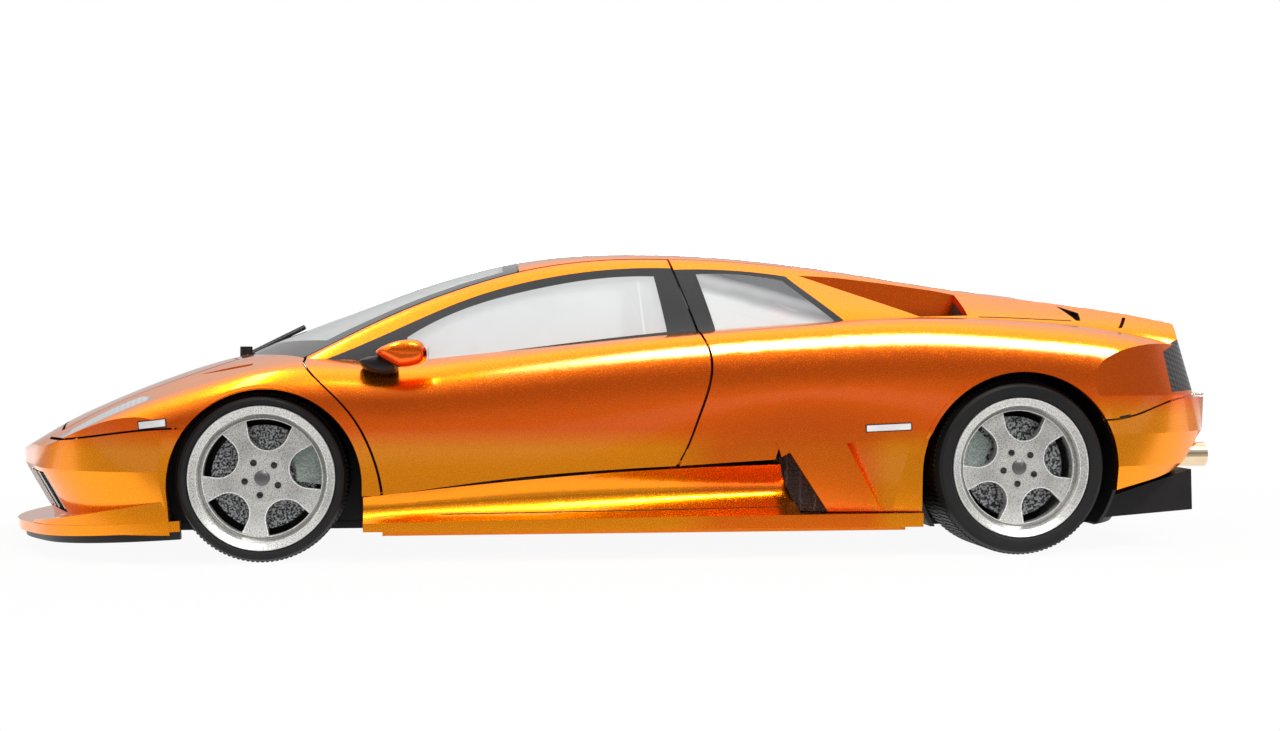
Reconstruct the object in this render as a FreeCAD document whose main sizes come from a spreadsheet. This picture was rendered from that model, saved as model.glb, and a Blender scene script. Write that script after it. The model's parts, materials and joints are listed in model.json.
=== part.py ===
import FreeCAD, Part
import Sketcher
import math
import os

from FreeCAD import Vector, Rotation, Placement

# A 1:18 die-cast model of a mid-engined supercar, built from separate panels and fittings.
# Stations (x) are measured rearwards from the front axle, y is positive to the right of the car,
# z is up from the ground. Every piece is moved by "shift" at the end, so that the model's box is
# centred on the origin. The nose points to -X, and the left side to -Y.

doc = FreeCAD.newDocument("supercar_model")
sheet = doc.addObject("Spreadsheet::Sheet", "dims")


class Size:
    """A length that is both a number and a formula of the sheet's cells."""

    def __init__(self, value, text):
        self.value = float(value)
        self.text = text

    def __float__(self):
        return self.value

    @staticmethod
    def of(other):
        return other if isinstance(other, Size) else Size(other, repr(float(other)))

    def join(self, other, sign, value):
        return Size(value, "(" + self.text + " " + sign + " " + Size.of(other).text + ")")

    def __add__(self, other):
        return self.join(other, "+", self.value + float(other))

    def __sub__(self, other):
        return self.join(other, "-", self.value - float(other))

    def __mul__(self, other):
        return self.join(other, "*", self.value * float(other))

    def __truediv__(self, other):
        return self.join(other, "/", self.value / float(other))

    def __radd__(self, other):
        return Size.of(other) + self

    def __rsub__(self, other):
        return Size.of(other) - self

    def __rmul__(self, other):
        return Size.of(other) * self

    def __neg__(self):
        return Size(-self.value, "(-1 * " + self.text + ")")


row_count = 0


def dim(alias, value):
    """Write one driving dimension into the sheet and hand it back as a Size."""
    global row_count
    row_count += 1
    sheet.set("A%d" % row_count, alias)
    sheet.set("B%d" % row_count, str(value))
    sheet.setAlias("B%d" % row_count, alias)
    return Size(value, "dims." + alias)


# Overall sizes
wheelbase = dim("wheelbase", 148.0)
front_overhang = dim("front_overhang", 56.5)
rear_overhang = dim("rear_overhang", 49.0)
skin = dim("skin", 1.5)
panel_gap = dim("panel_gap", 0.5)

# Wheels
front_tyre_radius = dim("front_tyre_radius", 16.2)
rear_tyre_radius = dim("rear_tyre_radius", 17.4)
front_tyre_width = dim("front_tyre_width", 13.6)
rear_tyre_width = dim("rear_tyre_width", 18.2)
front_track = dim("front_track", 90.8)
rear_track = dim("rear_track", 93.6)
rim_radius = dim("rim_radius", 13.85)
disc_radius = dim("disc_radius", 10.0)
disc_thick = dim("disc_thick", 1.2)
axle_radius = dim("axle_radius", 1.5)
axle_clearance = dim("axle_clearance", 0.06)
kingpin_radius = dim("kingpin_radius", 1.2)
kingpin_place = dim("kingpin_place", 35.0)

# Wheel arches, as seen from the side
front_arch_radius = dim("front_arch_radius", 18.3)
front_arch_height = dim("front_arch_height", 14.9)
rear_arch_radius = dim("rear_arch_radius", 19.9)
rear_arch_height = dim("rear_arch_height", 16.5)

# Base plate and cabin tub
floor_bottom = dim("floor_bottom", 4.4)
floor_thick = dim("floor_thick", 1.4)
tub_half = dim("tub_half", 45.0)
tub_wall = dim("tub_wall", 1.0)
firewall_place = dim("firewall_place", 2.0)
bulkhead_place = dim("bulkhead_place", 100.0)

# Fittings
seat_width = dim("seat_width", 24.0)
seat_place = dim("seat_place", 21.0)
steering_wheel_radius = dim("steering_wheel_radius", 8.6)
exhaust_radius = dim("exhaust_radius", 3.0)
exhaust_wall = dim("exhaust_wall", 0.5)

# Screw posts for a display stand
front_post_place = dim("front_post_place", -3.0)
rear_post_place = dim("rear_post_place", 16.0)
post_radius = dim("post_radius", 3.0)
post_height = dim("post_height", 8.0)
screw_radius = dim("screw_radius", 1.35)
screw_depth = dim("screw_depth", 6.0)

shift = -(wheelbase + rear_overhang - front_overhang) / 2
nodes = []

# The outlines' stations are written for this wheelbase, with the rear axle at rear_station.
# When the wheelbase changes, the body stretches between the two stations below.
rear_station = 148.0
stretch_start = 24.0
stretch_end = 126.0
tail_station = rear_station + float(rear_overhang)


def place(x):
    """Where a written station comes to lie: what is behind the doors goes with the rear axle."""
    share = (x - stretch_start) / (stretch_end - stretch_start)
    return x + (float(wheelbase) - rear_station) * min(max(share, 0.0), 1.0)


def bind(obj, **sizes):
    """Give an object's properties their sizes as formulas of the sheet."""
    for name, size in sizes.items():
        obj.setExpression(name.replace("__", "."), Size.of(size).text)


def add_node(name, shape):
    """Add a sub-part whose shape comes from Part's own functions."""
    node = doc.addObject("Part::Feature", name)
    node.Label = name
    node.Shape = shape
    node.Placement = Placement(Vector(float(shift), 0, 0), Rotation())
    nodes.append(node)
    return node


# Curves and outlines

def smooth(*points):
    """A smooth function through a few (station, value) points, flat beyond its ends."""
    xs = [place(p[0]) for p in points]
    vs = [p[1] for p in points]
    last = len(xs) - 1
    steps = [(vs[i + 1] - vs[i]) / (xs[i + 1] - xs[i]) for i in range(last)]
    slopes = [steps[0]]
    for i in range(1, last):
        before, after = xs[i] - xs[i - 1], xs[i + 1] - xs[i]
        slopes.append((steps[i - 1] * after + steps[i] * before) / (before + after))
    slopes.append(steps[-1])

    def value(x):
        x = min(max(x, xs[0]), xs[-1])
        i = 0
        while i < last - 1 and x > xs[i + 1]:
            i += 1
        span = xs[i + 1] - xs[i]
        t = (x - xs[i]) / span
        return ((2 * t ** 3 - 3 * t ** 2 + 1) * vs[i] + (t ** 3 - 2 * t ** 2 + t) * span * slopes[i]
                + (-2 * t ** 3 + 3 * t ** 2) * vs[i + 1] + (t ** 3 - t ** 2) * span * slopes[i + 1])

    return value


def run(points, place):
    """One edge through the points: a line for two, a spline for more."""
    places = [place(*p) for p in points]
    if len(places) == 2:
        return Part.makeLine(*places)
    spline = Part.BSplineCurve()
    spline.interpolate(places)
    return spline.toShape()


def side_point(x, z):
    return Vector(place(x), 0, z)


def plan_point(x, y):
    return Vector(place(x), y, 0)


def closed_face(place, *runs):
    """A flat face inside a loop of runs, each of which starts where the last one ended."""
    loops = []
    for i, points in enumerate(runs):
        following = runs[(i + 1) % len(runs)]
        points = list(points)
        if points[-1] != following[0]:
            points_end = [points[-1], following[0]]
            loops.append(run(points, place) if len(points) > 1 else None)
            loops.append(run(points_end, place))
        else:
            loops.append(run(points, place))
    return Part.Face(Part.Wire([edge for edge in loops if edge is not None]))


def side_prism(low, high, *runs):
    """A prism across the car, from y = low to y = high, with its outline in the side view."""
    face = closed_face(side_point, *runs)
    face.translate(Vector(0, low, 0))
    return face.extrude(Vector(0, high - low, 0))


def plan_prism(low, high, *runs):
    """A vertical prism from z = low to z = high, with its outline in the plan view."""
    face = closed_face(plan_point, *runs)
    face.translate(Vector(0, 0, low))
    return face.extrude(Vector(0, 0, high - low))


def box(x0, x1, y0, y1, z0, z1):
    return Part.makeBox(place(x1) - place(x0), y1 - y0, z1 - z0, Vector(place(x0), y0, z0))


def cross_cylinder(radius, x, z, low, high):
    """A cylinder across the car."""
    return Part.makeCylinder(radius, high - low, Vector(place(x), low, z), Vector(0, 1, 0))


def mirrored(shape):
    return shape.mirror(Vector(0, 0, 0), Vector(0, 1, 0))


def both(shape):
    """The shape and its mirror image, as one compound."""
    return Part.makeCompound(shape.Solids + mirrored(shape).Solids)


def solids(shape, smallest=0.5):
    """The shape's solids without crumbs, as one compound."""
    return Part.makeCompound([s for s in shape.Solids if s.Volume > smallest])


# Feature lines of the lower body

FAR = 80.0
hood_line = smooth((-62, 15), (-55, 18.8), (-51, 23.0), (-47, 25.3), (-37, 29.9), (-27, 34.0), (-10, 39.8),
                   (6, 42.0), (40, 42.5), (80, 44.5), (130, 47.4), (165, 46.9), (192, 44.2), (206, 41.0))
crest_width = smooth((-62, 34), (-45, 36.5), (-30, 42.5), (-12, 43.5), (4, 43.0), (20, 45.4), (40, 47.6),
                     (80, 48.4), (125, 48.4), (150, 46.5), (180, 43.0), (206, 40))
crest_line = smooth((-62, 13.5), (-46, 20.0), (-38, 24.4), (-30, 28.4), (-12, 34.6), (2, 38.6), (12, 39.0),
                    (22, 38.0), (40, 39.6), (80, 44.1), (105, 46.1), (128, 47.6), (150, 46.9), (170, 45.2),
                    (182, 42.8), (206, 36))
side_width = smooth((-62, 50), (-30, 52.3), (0, 53.6), (25, 54.4), (80, 55.0), (120, 56.4), (148, 57.4),
                    (170, 56.6), (190, 53.6), (206, 50))
side_line = smooth((-62, 9), (-46, 15), (-30, 21), (0, 28.5), (25, 27.5), (80, 31.5), (120, 33.5), (150, 34), (175, 31),
                   (206, 26))
tuck_width = smooth((-62, 49.5), (-20, 52.2), (20, 53.8), (80, 53.6), (105, 52.4), (130, 55), (150, 56.6),
                    (170, 55.8), (206, 50))

# Feature lines of the cabin form: windscreen, roof and rear deck

roof_line = smooth((-18, 32.0), (-13, 37.2), (-9, 40.0), (3, 44.7), (18.5, 50.7), (31, 55.4), (40, 58.0), (48, 60.0),
                   (58, 61.4), (73, 62.1), (85, 61.9), (105, 60.4), (121, 58.2), (143, 54.7), (165, 51.6),
                   (180, 49.2), (194, 46.3), (206, 44))
rail_width = smooth((-18, 43), (8, 42.4), (17, 38.6), (28, 34.8), (40, 31.8), (52, 30.0), (80, 30.2),
                    (105, 31.0), (143, 31.0), (165, 31.5), (194, 34), (206, 35))
rail_line = smooth((-18, 26.5), (-6, 32.4), (8, 39.4), (17, 44.3), (28, 49.6), (40, 54.2), (52, 57.7),
                   (64, 59.5), (80, 60.0), (93, 59.6), (105, 58.5), (121, 56.6), (143, 53.4), (165, 50.8),
                   (180, 48.7), (194, 45.6), (206, 42))
belt_width = smooth((-18, 45), (8, 44.8), (20, 46.8), (40, 47.6), (80, 48.0), (128, 48.0), (143, 45.6),
                    (165, 42), (194, 39.5), (206, 39))
belt_line = smooth((-18, 24), (8, 37.0), (20, 35.6), (40, 38.0), (80, 42.6), (105, 44.6), (130, 46.4),
                   (143, 46.4), (165, 45.4), (180, 43.2), (194, 40.0), (206, 36))


def body_row(x):
    """Poles of the lower body's section at x, from the middle to the lower edge, as (y, z)."""
    top, ys, zs = hood_line(x), crest_width(x), crest_line(x)
    yw, zw, yt = side_width(x), side_line(x), tuck_width(x)
    drop = top - zs
    return [(0, top), (0.45 * ys, top - 0.10 * drop), (0.80 * ys, top - 0.50 * drop), (ys, zs),
            (ys + 0.66 * (yw - ys), zs - 0.12 * (zs - zw)), (yw, zs - 0.50 * (zs - zw)), (yw, zw - 1.5),
            (0.6 * yw + 0.4 * yt, 0.6 * zw + 3.0), (yt, 6.5), (yt, 2.0)]


def cabin_row(x):
    """Poles of the cabin form's section at x, from the middle to its foot, as (y, z)."""
    top, ye, ze = roof_line(x), rail_width(x), rail_line(x)
    yb, zb = belt_width(x), belt_line(x)
    drop = top - ze
    return [(0, top), (0.40 * ye, top - 0.08 * drop), (0.74 * ye, top - 0.42 * drop), (ye, ze),
            (ye + 0.12 * (yb - ye) + 0.5, ze - 0.16 * (ze - zb)), (0.5 * ye + 0.5 * yb + 0.9, 0.5 * ze + 0.5 * zb),
            (yb, zb), (yb + 1.0, zb - 5.0), (yb + 1.0, 12.0)]


def inset(row, wall):
    """The row moved inwards by the wall, along the normals of its polygon."""
    moved = []
    for i, (y, z) in enumerate(row):
        before = row[max(i - 1, 0)]
        after = row[min(i + 1, len(row) - 1)]
        dy, dz = after[0] - before[0], after[1] - before[1]
        if i == 0:
            dz = 0.0
        length = math.hypot(dy, dz)
        moved.append((y + wall * dz / length, z - wall * dy / length))
    return moved


def form(row_at, stations, wall):
    """A closed solid through rows of poles, mirrored about the middle plane."""
    rows = []
    for x in stations:
        half = inset(row_at(x), wall)
        line = [Vector(x, -y, z) for y, z in reversed(half)] + [Vector(x, y, z) for y, z in half[1:]]
        rows.append(line)
    surface = Part.BSplineSurface()
    across = len(rows[0])
    along = len(rows)
    surface.buildFromPolesMultsKnots(rows, [4] + [1] * (along - 4) + [4], [4] + [1] * (across - 4) + [4],
                                     list(range(along - 2)), list(range(across - 2)), False, False, 3, 3)
    upper = surface.toShape()
    faces = [upper]
    foot_edges = [edge for edge in upper.Edges if edge.BoundBox.XLength > 1]
    for edge in upper.Edges:
        if edge.BoundBox.XLength < 1:
            closing = Part.makeLine(edge.Vertexes[0].Point, edge.Vertexes[-1].Point)
            faces.append(Part.Face(Part.Wire([edge, closing])))
            foot_edges.append(closing)
    faces.append(Part.Face(Part.Wire(Part.__sortEdges__(foot_edges))))
    shell = Part.Shell(faces)
    shell.sewShape()
    solid = Part.Solid(shell)
    return solid


def stations(first, last, count):
    return [first + (last - first) * i / (count - 1) for i in range(count)]


body_stations = stations(-62, place(206), 34)
cabin_stations = stations(-18, place(206), 30)
body_outer = form(body_row, body_stations, 0.0)
body_inner = form(body_row, body_stations, float(skin))
cabin_outer = form(cabin_row, cabin_stations, 0.0)
cabin_inner = form(cabin_row, cabin_stations, float(skin))


# Plan outline of the body at each level: how far the nose and the tail are drawn in

NOSE_HALF = [(-55.4, 0), (-54.6, 8), (-51.8, 17), (-48.4, 26), (-44.8, 34.5), (-38.0, 43.6), (-29, 49.2),
             (-17, 53.2), (0, 57), (14, 60)]
TAIL_HALF = [(tail_station, 0), (196.6, 20), (195.4, 35), (190, 43.6), (183, 50.0), (172, 55.2), (160, 57.8),
             (140, 60)]
LEVELS = [(0, 8.0, 16.0), (8, 5.4, 9.0), (17.5, 0.0, 2.0), (24, 0.0, 0.4), (31.6, 0.0, 0.0), (31.6, 0.0, 2.4),
          (47, -1.0, 7.0), (75, -1.0, 7.0)]
NOSE_REACH = (-30, -10)
TAIL_REACH = (175, 150)


def drawn_in(x, reach, amount):
    """How far a point at x moves when an end is drawn in, fading out along the side."""
    near, far = reach
    share = (far - x) / (far - near)
    return amount * min(max(share, 0), 1)


def plan_wire(level, nose_in, tail_in, wall):
    """The body's outline in plan at one level, drawn in at the nose and tail and by the wall."""
    nose = [(x + wall + drawn_in(x, NOSE_REACH, nose_in), y) for x, y in NOSE_HALF]
    rear = [(place(x) - wall - drawn_in(x, TAIL_REACH, tail_in), y) for x, y in TAIL_HALF]
    splines = []
    for half in (nose, rear):
        line = [(x, wall - y) for x, y in reversed(half[1:])] + [half[0]] + [(x, y - wall) for x, y in half[1:]]
        splines.append([Vector(x, y, level) for x, y in line])
    front, back = splines[0], splines[1][::-1]
    edges = []
    for line in (front, back):
        spline = Part.BSplineCurve()
        spline.interpolate(line)
        edges.append(spline.toShape())
    right = Part.makeLine(front[-1], back[0])
    left = Part.makeLine(back[-1], front[0])
    return Part.Wire([edges[0], right, edges[1], left])


def plan_form(wall):
    """The body's envelope in plan, as a stack of ruled lofts between the levels."""
    blocks = []
    for (low, nose_low, tail_low), (high, nose_high, tail_high) in zip(LEVELS, LEVELS[1:]):
        if high > low:
            wires = [plan_wire(low, nose_low, tail_low, wall), plan_wire(high, nose_high, tail_high, wall)]
            blocks.append(Part.makeLoft(wires, True, True))
    return blocks[0].fuse(blocks[1:])


envelope = plan_form(0.0)
envelope_inner = plan_form(float(skin))
body_solid = body_outer.common(envelope)
body_core = body_inner.common(envelope_inner)
cabin_solid = cabin_outer.common(envelope)
cabin_core = cabin_inner.common(envelope_inner)

# Outlines in the side view, as (station, height)

gap = float(panel_gap)
half_gap = gap / 2
HIGH = 75.0

door_front = [(22.8, 12.7), (21.9, 17.6), (20.4, 22.0), (17.8, 27.0), (14.2, 31.4), (10.2, 35.2), (7.4, 38.2)]
door_foot = [(79.4, 17.9), (65.2, 17.2), (45.6, 15.6), (30, 13.6), (22.8, 12.7)]
door_rear = [(84.9, 43.2), (86.2, 37.5), (83.6, 27.5), (81.0, 20.8), (79.4, 17.9)]
pillar_top = (80.9, 59.0)
frame_top = [(10.2, 38.4), (25.8, 45.2), (39.5, 51.2), (54.0, 55.3), (67.2, 57.3), (82.0, 57.7)]
glass_top = [(27.2, 43.2), (39.5, 49.4), (53.9, 53.4), (61.9, 54.9), (77.2, 55.9)]
glass_foot = [(78.5, 44.3), (60, 42.2), (40, 39.7), (27.2, 38.2)]
quarter_glass_top = [(86.0, 56.4), (95, 56.4), (103.8, 55.1)]
quarter_glass_rear = [(103.8, 55.1), (112.2, 46.7)]
quarter_glass_foot = [(112.2, 46.5), (88.2, 44.6)]
quarter_rim = [[(79.0, 57.3), (92, 57.4), (104.8, 56.1)], [(104.8, 56.1), (106.4, 54.4)],
               [(106.4, 54.4), (115.6, 45.4)], [(115.6, 45.4), (115.0, 43.0)], [(115.0, 43.0), (79.0, 42.0)],
               [(79.0, 42.0), (79.0, 57.3)]]
scoop_outline = [[(107.6, 56.3), (125, 55.0), (141.0, 52.4)], [(141.0, 52.4), (141.0, 47.8)],
                 [(141.0, 47.8), (130.4, 47.5)], [(130.4, 47.5), (107.6, 56.3)]]
bumper_seam = [(-14.9, 25.6), (-26, 24.8), (-37, 23.4), (-43.6, 23.0)]
rear_seam = [(165.0, 27.0), (174, 28.6), (182.4, 31.0), (190, 31.4), (200, 31.4)]
quarter_crease = [(80.9, 21.2), (98.5, 22.7), (114, 23.6), (129, 24.2)]


def seam_half(x):
    """Half the width of the windscreen and roof panel at x, where the door's upper rail starts."""
    return rail_width(place(x)) - 1.0


def door_region(grow):
    """The left door's region, grown by an amount on its gaps."""
    front_corner = (door_front[0][0] - grow, door_front[0][1] - grow)
    rear_corner = (door_rear[-1][0] + grow, door_rear[-1][1] - grow)
    front = [front_corner] + [(x - grow, z) for x, z in door_front[1:]]
    foot = [rear_corner] + [(x, z - grow) for x, z in door_foot[1:-1]] + [front_corner]
    rear = [(x + grow, z) for x, z in door_rear[:-1]] + [rear_corner]
    top = (pillar_top[0] + grow, pillar_top[1])
    corner = (front[-1][0], HIGH)
    above = (top[0] - 0.25 * (HIGH - top[1]), HIGH)
    side = side_prism(-70, -20, front, [front[-1], corner], [corner, above], [above, top], [top, rear[0]],
                      rear, foot)
    xs = [0, 10, 20, 32, 46, 60, 80, 100]
    seam = [(x, grow - seam_half(x)) for x in xs]
    outside = plan_prism(0, HIGH, seam, [seam[-1], (100, -70)], [(100, -70), (0, -70)], [(0, -70), seam[0]])
    return side.common(outside)


door_hole = door_region(half_gap)
door_block = door_region(-half_gap)
seam_gap = 0.4


# Wheel arches

arch_front = cross_cylinder(float(front_arch_radius), 0.7, float(front_arch_height), -70, 70)
arch_rear = cross_cylinder(float(rear_arch_radius), rear_station, float(rear_arch_height), -70, 70)
arch_foot = [(-17.6, float(front_arch_height)), (-16.0, -5), (19.0, -5), (19.0, float(front_arch_height))]
arch_front = arch_front.fuse(side_prism(-70, 70, *[[a, b] for a, b in zip(arch_foot, arch_foot[1:] + arch_foot[:1])]))
arch_rear = arch_rear.fuse(box(128.1, 167.9, -70, 70, -5, float(rear_arch_height)))
middle = box(-70, 220, -30, 30, -10, 90)
arches = arch_front.fuse(arch_rear).cut(middle)

body_shell = body_solid.cut([body_core, arches])
cabin_shell = cabin_solid.cut([cabin_core, body_solid])
body_skin = body_shell.cut(cabin_solid.common(box(-20, 181, -60, 60, 0, 90)))

# Rebates behind the seams: a step on the fixed side that reaches behind the neighbouring panel

step_gap = 0.35
step_thick = 0.8
step_width = 1.8
step_reach = 0.5
step_top = float(skin) + step_gap
step_foot = step_top + step_thick


def body_inside(depth):
    """The body's form at a depth below its outer surface."""
    return form(body_row, body_stations, depth).common(plan_form(depth))


under_step = body_inside(step_foot)
backing = body_core.cut(under_step)
step_layer = body_inside(step_top).cut(under_step)
around_door = door_region(step_width)
step_web = backing.common(around_door).cut(door_region(half_gap + step_gap))
step_lip = step_layer.common(around_door).cut(door_region(-step_reach))
door_step = step_web.fuse(step_lip).cut([cabin_solid, arches])
front_jamb = door_step.common(box(0, 23.2, -60, 0, 13.2, 44))
rear_jamb = door_step.common(box(76, 92, -60, 0, 18.4, 46))


def seam_backing(seam, below, above):
    """A strip of the body's inside that follows a seam, from below it to above it."""
    low = [(x, z - below) for x, z in seam]
    high = [(x, z + above) for x, z in seam]
    strip = side_prism(-70, 70, low, [low[-1], high[-1]], high[::-1], [high[0], low[0]])
    return backing.common(strip).cut(arches)


bumper_flange = seam_backing(bumper_seam + [(-46.4, 23.0)], 1.0, seam_gap + 0.8)
rear_flange = seam_backing(rear_seam, seam_gap + 1.0, 0.8)

# Front lid: its outline in plan, as (station, half width)

lid_front = [(-41.2, -31.2), (-43.2, -18), (-43.9, 0), (-43.2, 18), (-41.2, 31.2)]
lid_side = [(-41.2, 31.2), (-34, 32.6), (-24, 33.6), (-13, 31.6), (-7.5, 27)]
lid_rear = [(-7.5, 27), (-10.4, 14), (-11.4, 0), (-10.4, -14), (-7.5, -27)]
lid_other_side = [(x, -y) for x, y in reversed(lid_side)]


def inward(points, amount, middle_x):
    """Plan points moved towards a middle point by an amount, both ways."""
    moved = []
    for x, y in points:
        dy = amount if y < -1 else (-amount if y > 1 else 0)
        moved.append((x + amount if x < middle_x else x - amount, y + dy))
    return moved


def lid_region(amount):
    runs = [lid_front, lid_side, lid_rear, lid_other_side]
    return plan_prism(12, HIGH, *[inward(r, amount, -26) for r in runs])


lid_hole = lid_region(-half_gap)
lid_block = lid_region(half_gap)

# Headlamps: the left one's outline in plan

lamp_runs = [[(-41.4, -36.4), (-38.6, -42.4)], [(-38.6, -42.4), (-35.0, -45.0), (-28, -46.3), (-20.6, -45.2)],
             [(-20.6, -45.2), (-24.6, -38.9)], [(-24.6, -38.9), (-41.4, -36.4)]]
lamp_block = plan_prism(15, HIGH, *lamp_runs)
lamps = both(lamp_block)

# Front bumper and front body

bumper_runs = [[(-60, 6.2), (-60, HIGH)], [(-60, HIGH), (-43.6, HIGH)], [(-43.6, HIGH), bumper_seam[-1]],
               bumper_seam[::-1], [bumper_seam[0], (-12, 25.6)], [(-12, 25.6), (-12, 6.2)],
               [(-12, 6.2), (-60, 6.2)]]
bumper_block = side_prism(-70, 70, *bumper_runs)
upper_seam = [(x, z + seam_gap) for x, z in bumper_seam]
front_runs = [upper_seam, [upper_seam[-1], (-43.6, HIGH)], [(-43.6, HIGH), (40, HIGH)], [(40, HIGH), (40, 12.8)],
              [(40, 12.8), (-10, 12.8)], [(-10, 12.8), upper_seam[0]]]
front_block = side_prism(-70, 70, *front_runs)
intake_hole = plan_prism(8.6, 16.6, [(-70, -35), (-35, -35)], [(-35, -35), (-35, 35)], [(-35, 35), (-70, 35)],
                         [(-70, 35), (-70, -35)])
bumper = body_skin.common(bumper_block).fuse(bumper_flange).cut([intake_hole, lid_hole])
hood_slit = plan_prism(30, HIGH, [(-13.8, -36.0), (-3.0, -39.6)], [(-3.0, -39.6), (-3.0, -41.6)],
                       [(-3.0, -41.6), (-8.6, -39.6), (-13.8, -36.0)])
front_body = body_skin.common(front_block).cut([door_hole, mirrored(door_hole), lid_hole, lamps, both(hood_slit),
                                                box(23.2, 60, -70, 70, 0, HIGH)])
front_body = front_body.fuse([front_jamb, mirrored(front_jamb)])
front_lid = body_skin.common(lid_block)
for name, shape in (("front_body", front_body), ("front_lid", front_lid),
                    ("headlamps", body_skin.common(lamps).common(front_block))):
    add_node(name, solids(shape))

# Doors

door_skin_lower = body_skin.common(door_block)
door_cabin = cabin_shell.common(door_block)
above_frame = side_prism(-70, -20, frame_top, [frame_top[-1], (90, HIGH)], [(90, HIGH), (0, HIGH)],
                         [(0, HIGH), (0, 38.4)], [(0, 38.4), frame_top[0]])
glass_block = side_prism(-70, -20, glass_top, [glass_top[-1], glass_foot[0]], glass_foot,
                         [glass_foot[-1], glass_top[0]])
door_skin = door_skin_lower.fuse(door_cabin.common(above_frame))
door_frame = door_cabin.cut([above_frame, glass_block])
door_glass = door_cabin.common(glass_block)
for name, shape in (("left_door_skin", door_skin), ("left_door_frame", door_frame),
                    ("left_door_glass", door_glass)):
    add_node(name, solids(shape))

# Upper body

seam_xs = [-20, -5, 8, 20, 32, 46, 60, 82, 107]


def between_rails(first, last, grow):
    """The region inside the two rails of the roof, between two stations."""
    xs = [x for x in seam_xs if first < x < last]
    xs = [first] + xs + [last]
    left = [(x, -seam_half(x) + grow) for x in xs]
    right = [(x, y * -1) for x, y in reversed(left)]
    return plan_prism(0, HIGH, left, [left[-1], right[0]], right, [right[-1], left[0]])


windscreen = cabin_shell.common(between_rails(-19, 49.4, half_gap))
roof = cabin_shell.common(between_rails(49.7, 107, half_gap))
engine_front = 110.0
engine_rear = 186.0
engine_half = 27.0


def engine_region(grow):
    runs = [[(engine_front - grow, -engine_half - grow), (engine_rear + grow, -engine_half - 2 - grow)],
            [(engine_rear + grow, -engine_half - 2 - grow), (engine_rear + grow, engine_half + 2 + grow)],
            [(engine_rear + grow, engine_half + 2 + grow), (engine_front - grow, engine_half + grow)],
            [(engine_front - grow, engine_half + grow), (engine_front - grow, -engine_half - grow)]]
    return plan_prism(30, HIGH, *runs)


engine_lid = cabin_shell.common(engine_region(-half_gap))
louvre_count = 5
louvre_width = 3.2
louvre_pitch = 9.0
louvre_half = 18.0
for i in range(louvre_count):
    first = engine_front + 7.0 + i * louvre_pitch
    engine_lid = engine_lid.cut(box(first, first + louvre_width, -louvre_half, louvre_half, 30, HIGH))
quarter_foot = [(79.9, 18.1), (99.0, 19.2), (100.0, 22.8)]
rear_runs = [[quarter_foot[0], quarter_foot[1]], [quarter_foot[1], quarter_foot[2]], [quarter_foot[2]] + quarter_crease[2:],
             [quarter_crease[-1], (150, 24.2)], [(150, 24.2), rear_seam[0]], rear_seam,
             [rear_seam[-1], (200, HIGH)], [(200, HIGH), (70, HIGH)], [(70, HIGH), (70, 30)],
             [(70, 30), (79.9, 30)], [(79.9, 30), quarter_foot[0]]]
rear_block = side_prism(-70, 70, *rear_runs)
lamp_face = side_prism(-70, 70, [(180.6, 40.4), (192.4, 44.6)], [(192.4, 44.6), (199, 44.6)], [(199, 44.6), (199, 32.6)],
                       [(199, 32.6), (182.2, 32.2)], [(182.2, 32.2), (180.6, 40.4)])
rear_region = rear_block.cut([lamp_face, door_hole, mirrored(door_hole), box(-100, 80.0, -80, 80, -10, 90)])
quarter_glass_block = side_prism(-70, -20, quarter_glass_top, quarter_glass_rear,
                                 [quarter_glass_rear[-1], quarter_glass_foot[0]], quarter_glass_foot,
                                 [quarter_glass_foot[-1], quarter_glass_top[0]])
scoop_block = side_prism(-60, -33, *scoop_outline)
rear_lower = body_skin.common(rear_region)
rear_upper = cabin_solid.common(rear_region).cut([cabin_core, body_core, between_rails(40, 107, 0), engine_region(half_gap),
                                                  both(quarter_glass_block), both(scoop_block)])
quarter_block = both(side_prism(-70, -20, *quarter_rim))
quarter_frame = rear_upper.common(quarter_block)
deck_notch = side_prism(-42, -33.4, [(163.4, 50.2), (167.4, 48.6)], [(167.4, 48.6), (166.6, 46.9)],
                        [(166.6, 46.9), (165.6, 46.9)], [(165.6, 46.9), (163.4, 50.2)])
deck_slit = side_prism(-40, -34, [(174.8, 45.4), (177.4, 47.7)], [(177.4, 47.7), (178.3, 47.7)],
                       [(178.3, 47.7), (175.7, 45.4)], [(175.7, 45.4), (174.8, 45.4)])
rear_upper = rear_upper.cut([quarter_block, both(deck_notch), both(deck_slit)])
channel_block = both(side_prism(-70, -30, [(80.3, 21.3), (100.0, 22.9)], [(100.0, 22.9), (100.0, 17.0)],
                                [(100.0, 17.0), (80.3, 17.0)], [(80.3, 17.0), (80.3, 21.3)]))
channel_depth = 1.0
channel = body_inside(channel_depth).cut(body_inside(channel_depth + float(skin)))
channel = channel.common(channel_block).common(rear_region)
rear_lower = rear_lower.cut([channel_block, both(deck_notch), both(deck_slit)])
rear_body = rear_lower.fuse([rear_upper, channel, rear_jamb, mirrored(rear_jamb)])
for name, shape in (("windscreen", windscreen), ("roof_panel", roof), ("engine_lid", engine_lid),
                    ("quarter_windows", cabin_shell.common(both(quarter_glass_block))),
                    ("quarter_frames", quarter_frame)):
    add_node(name, solids(shape))


# Tail: lamp panels, centre grille, bumper and diffuser

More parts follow.
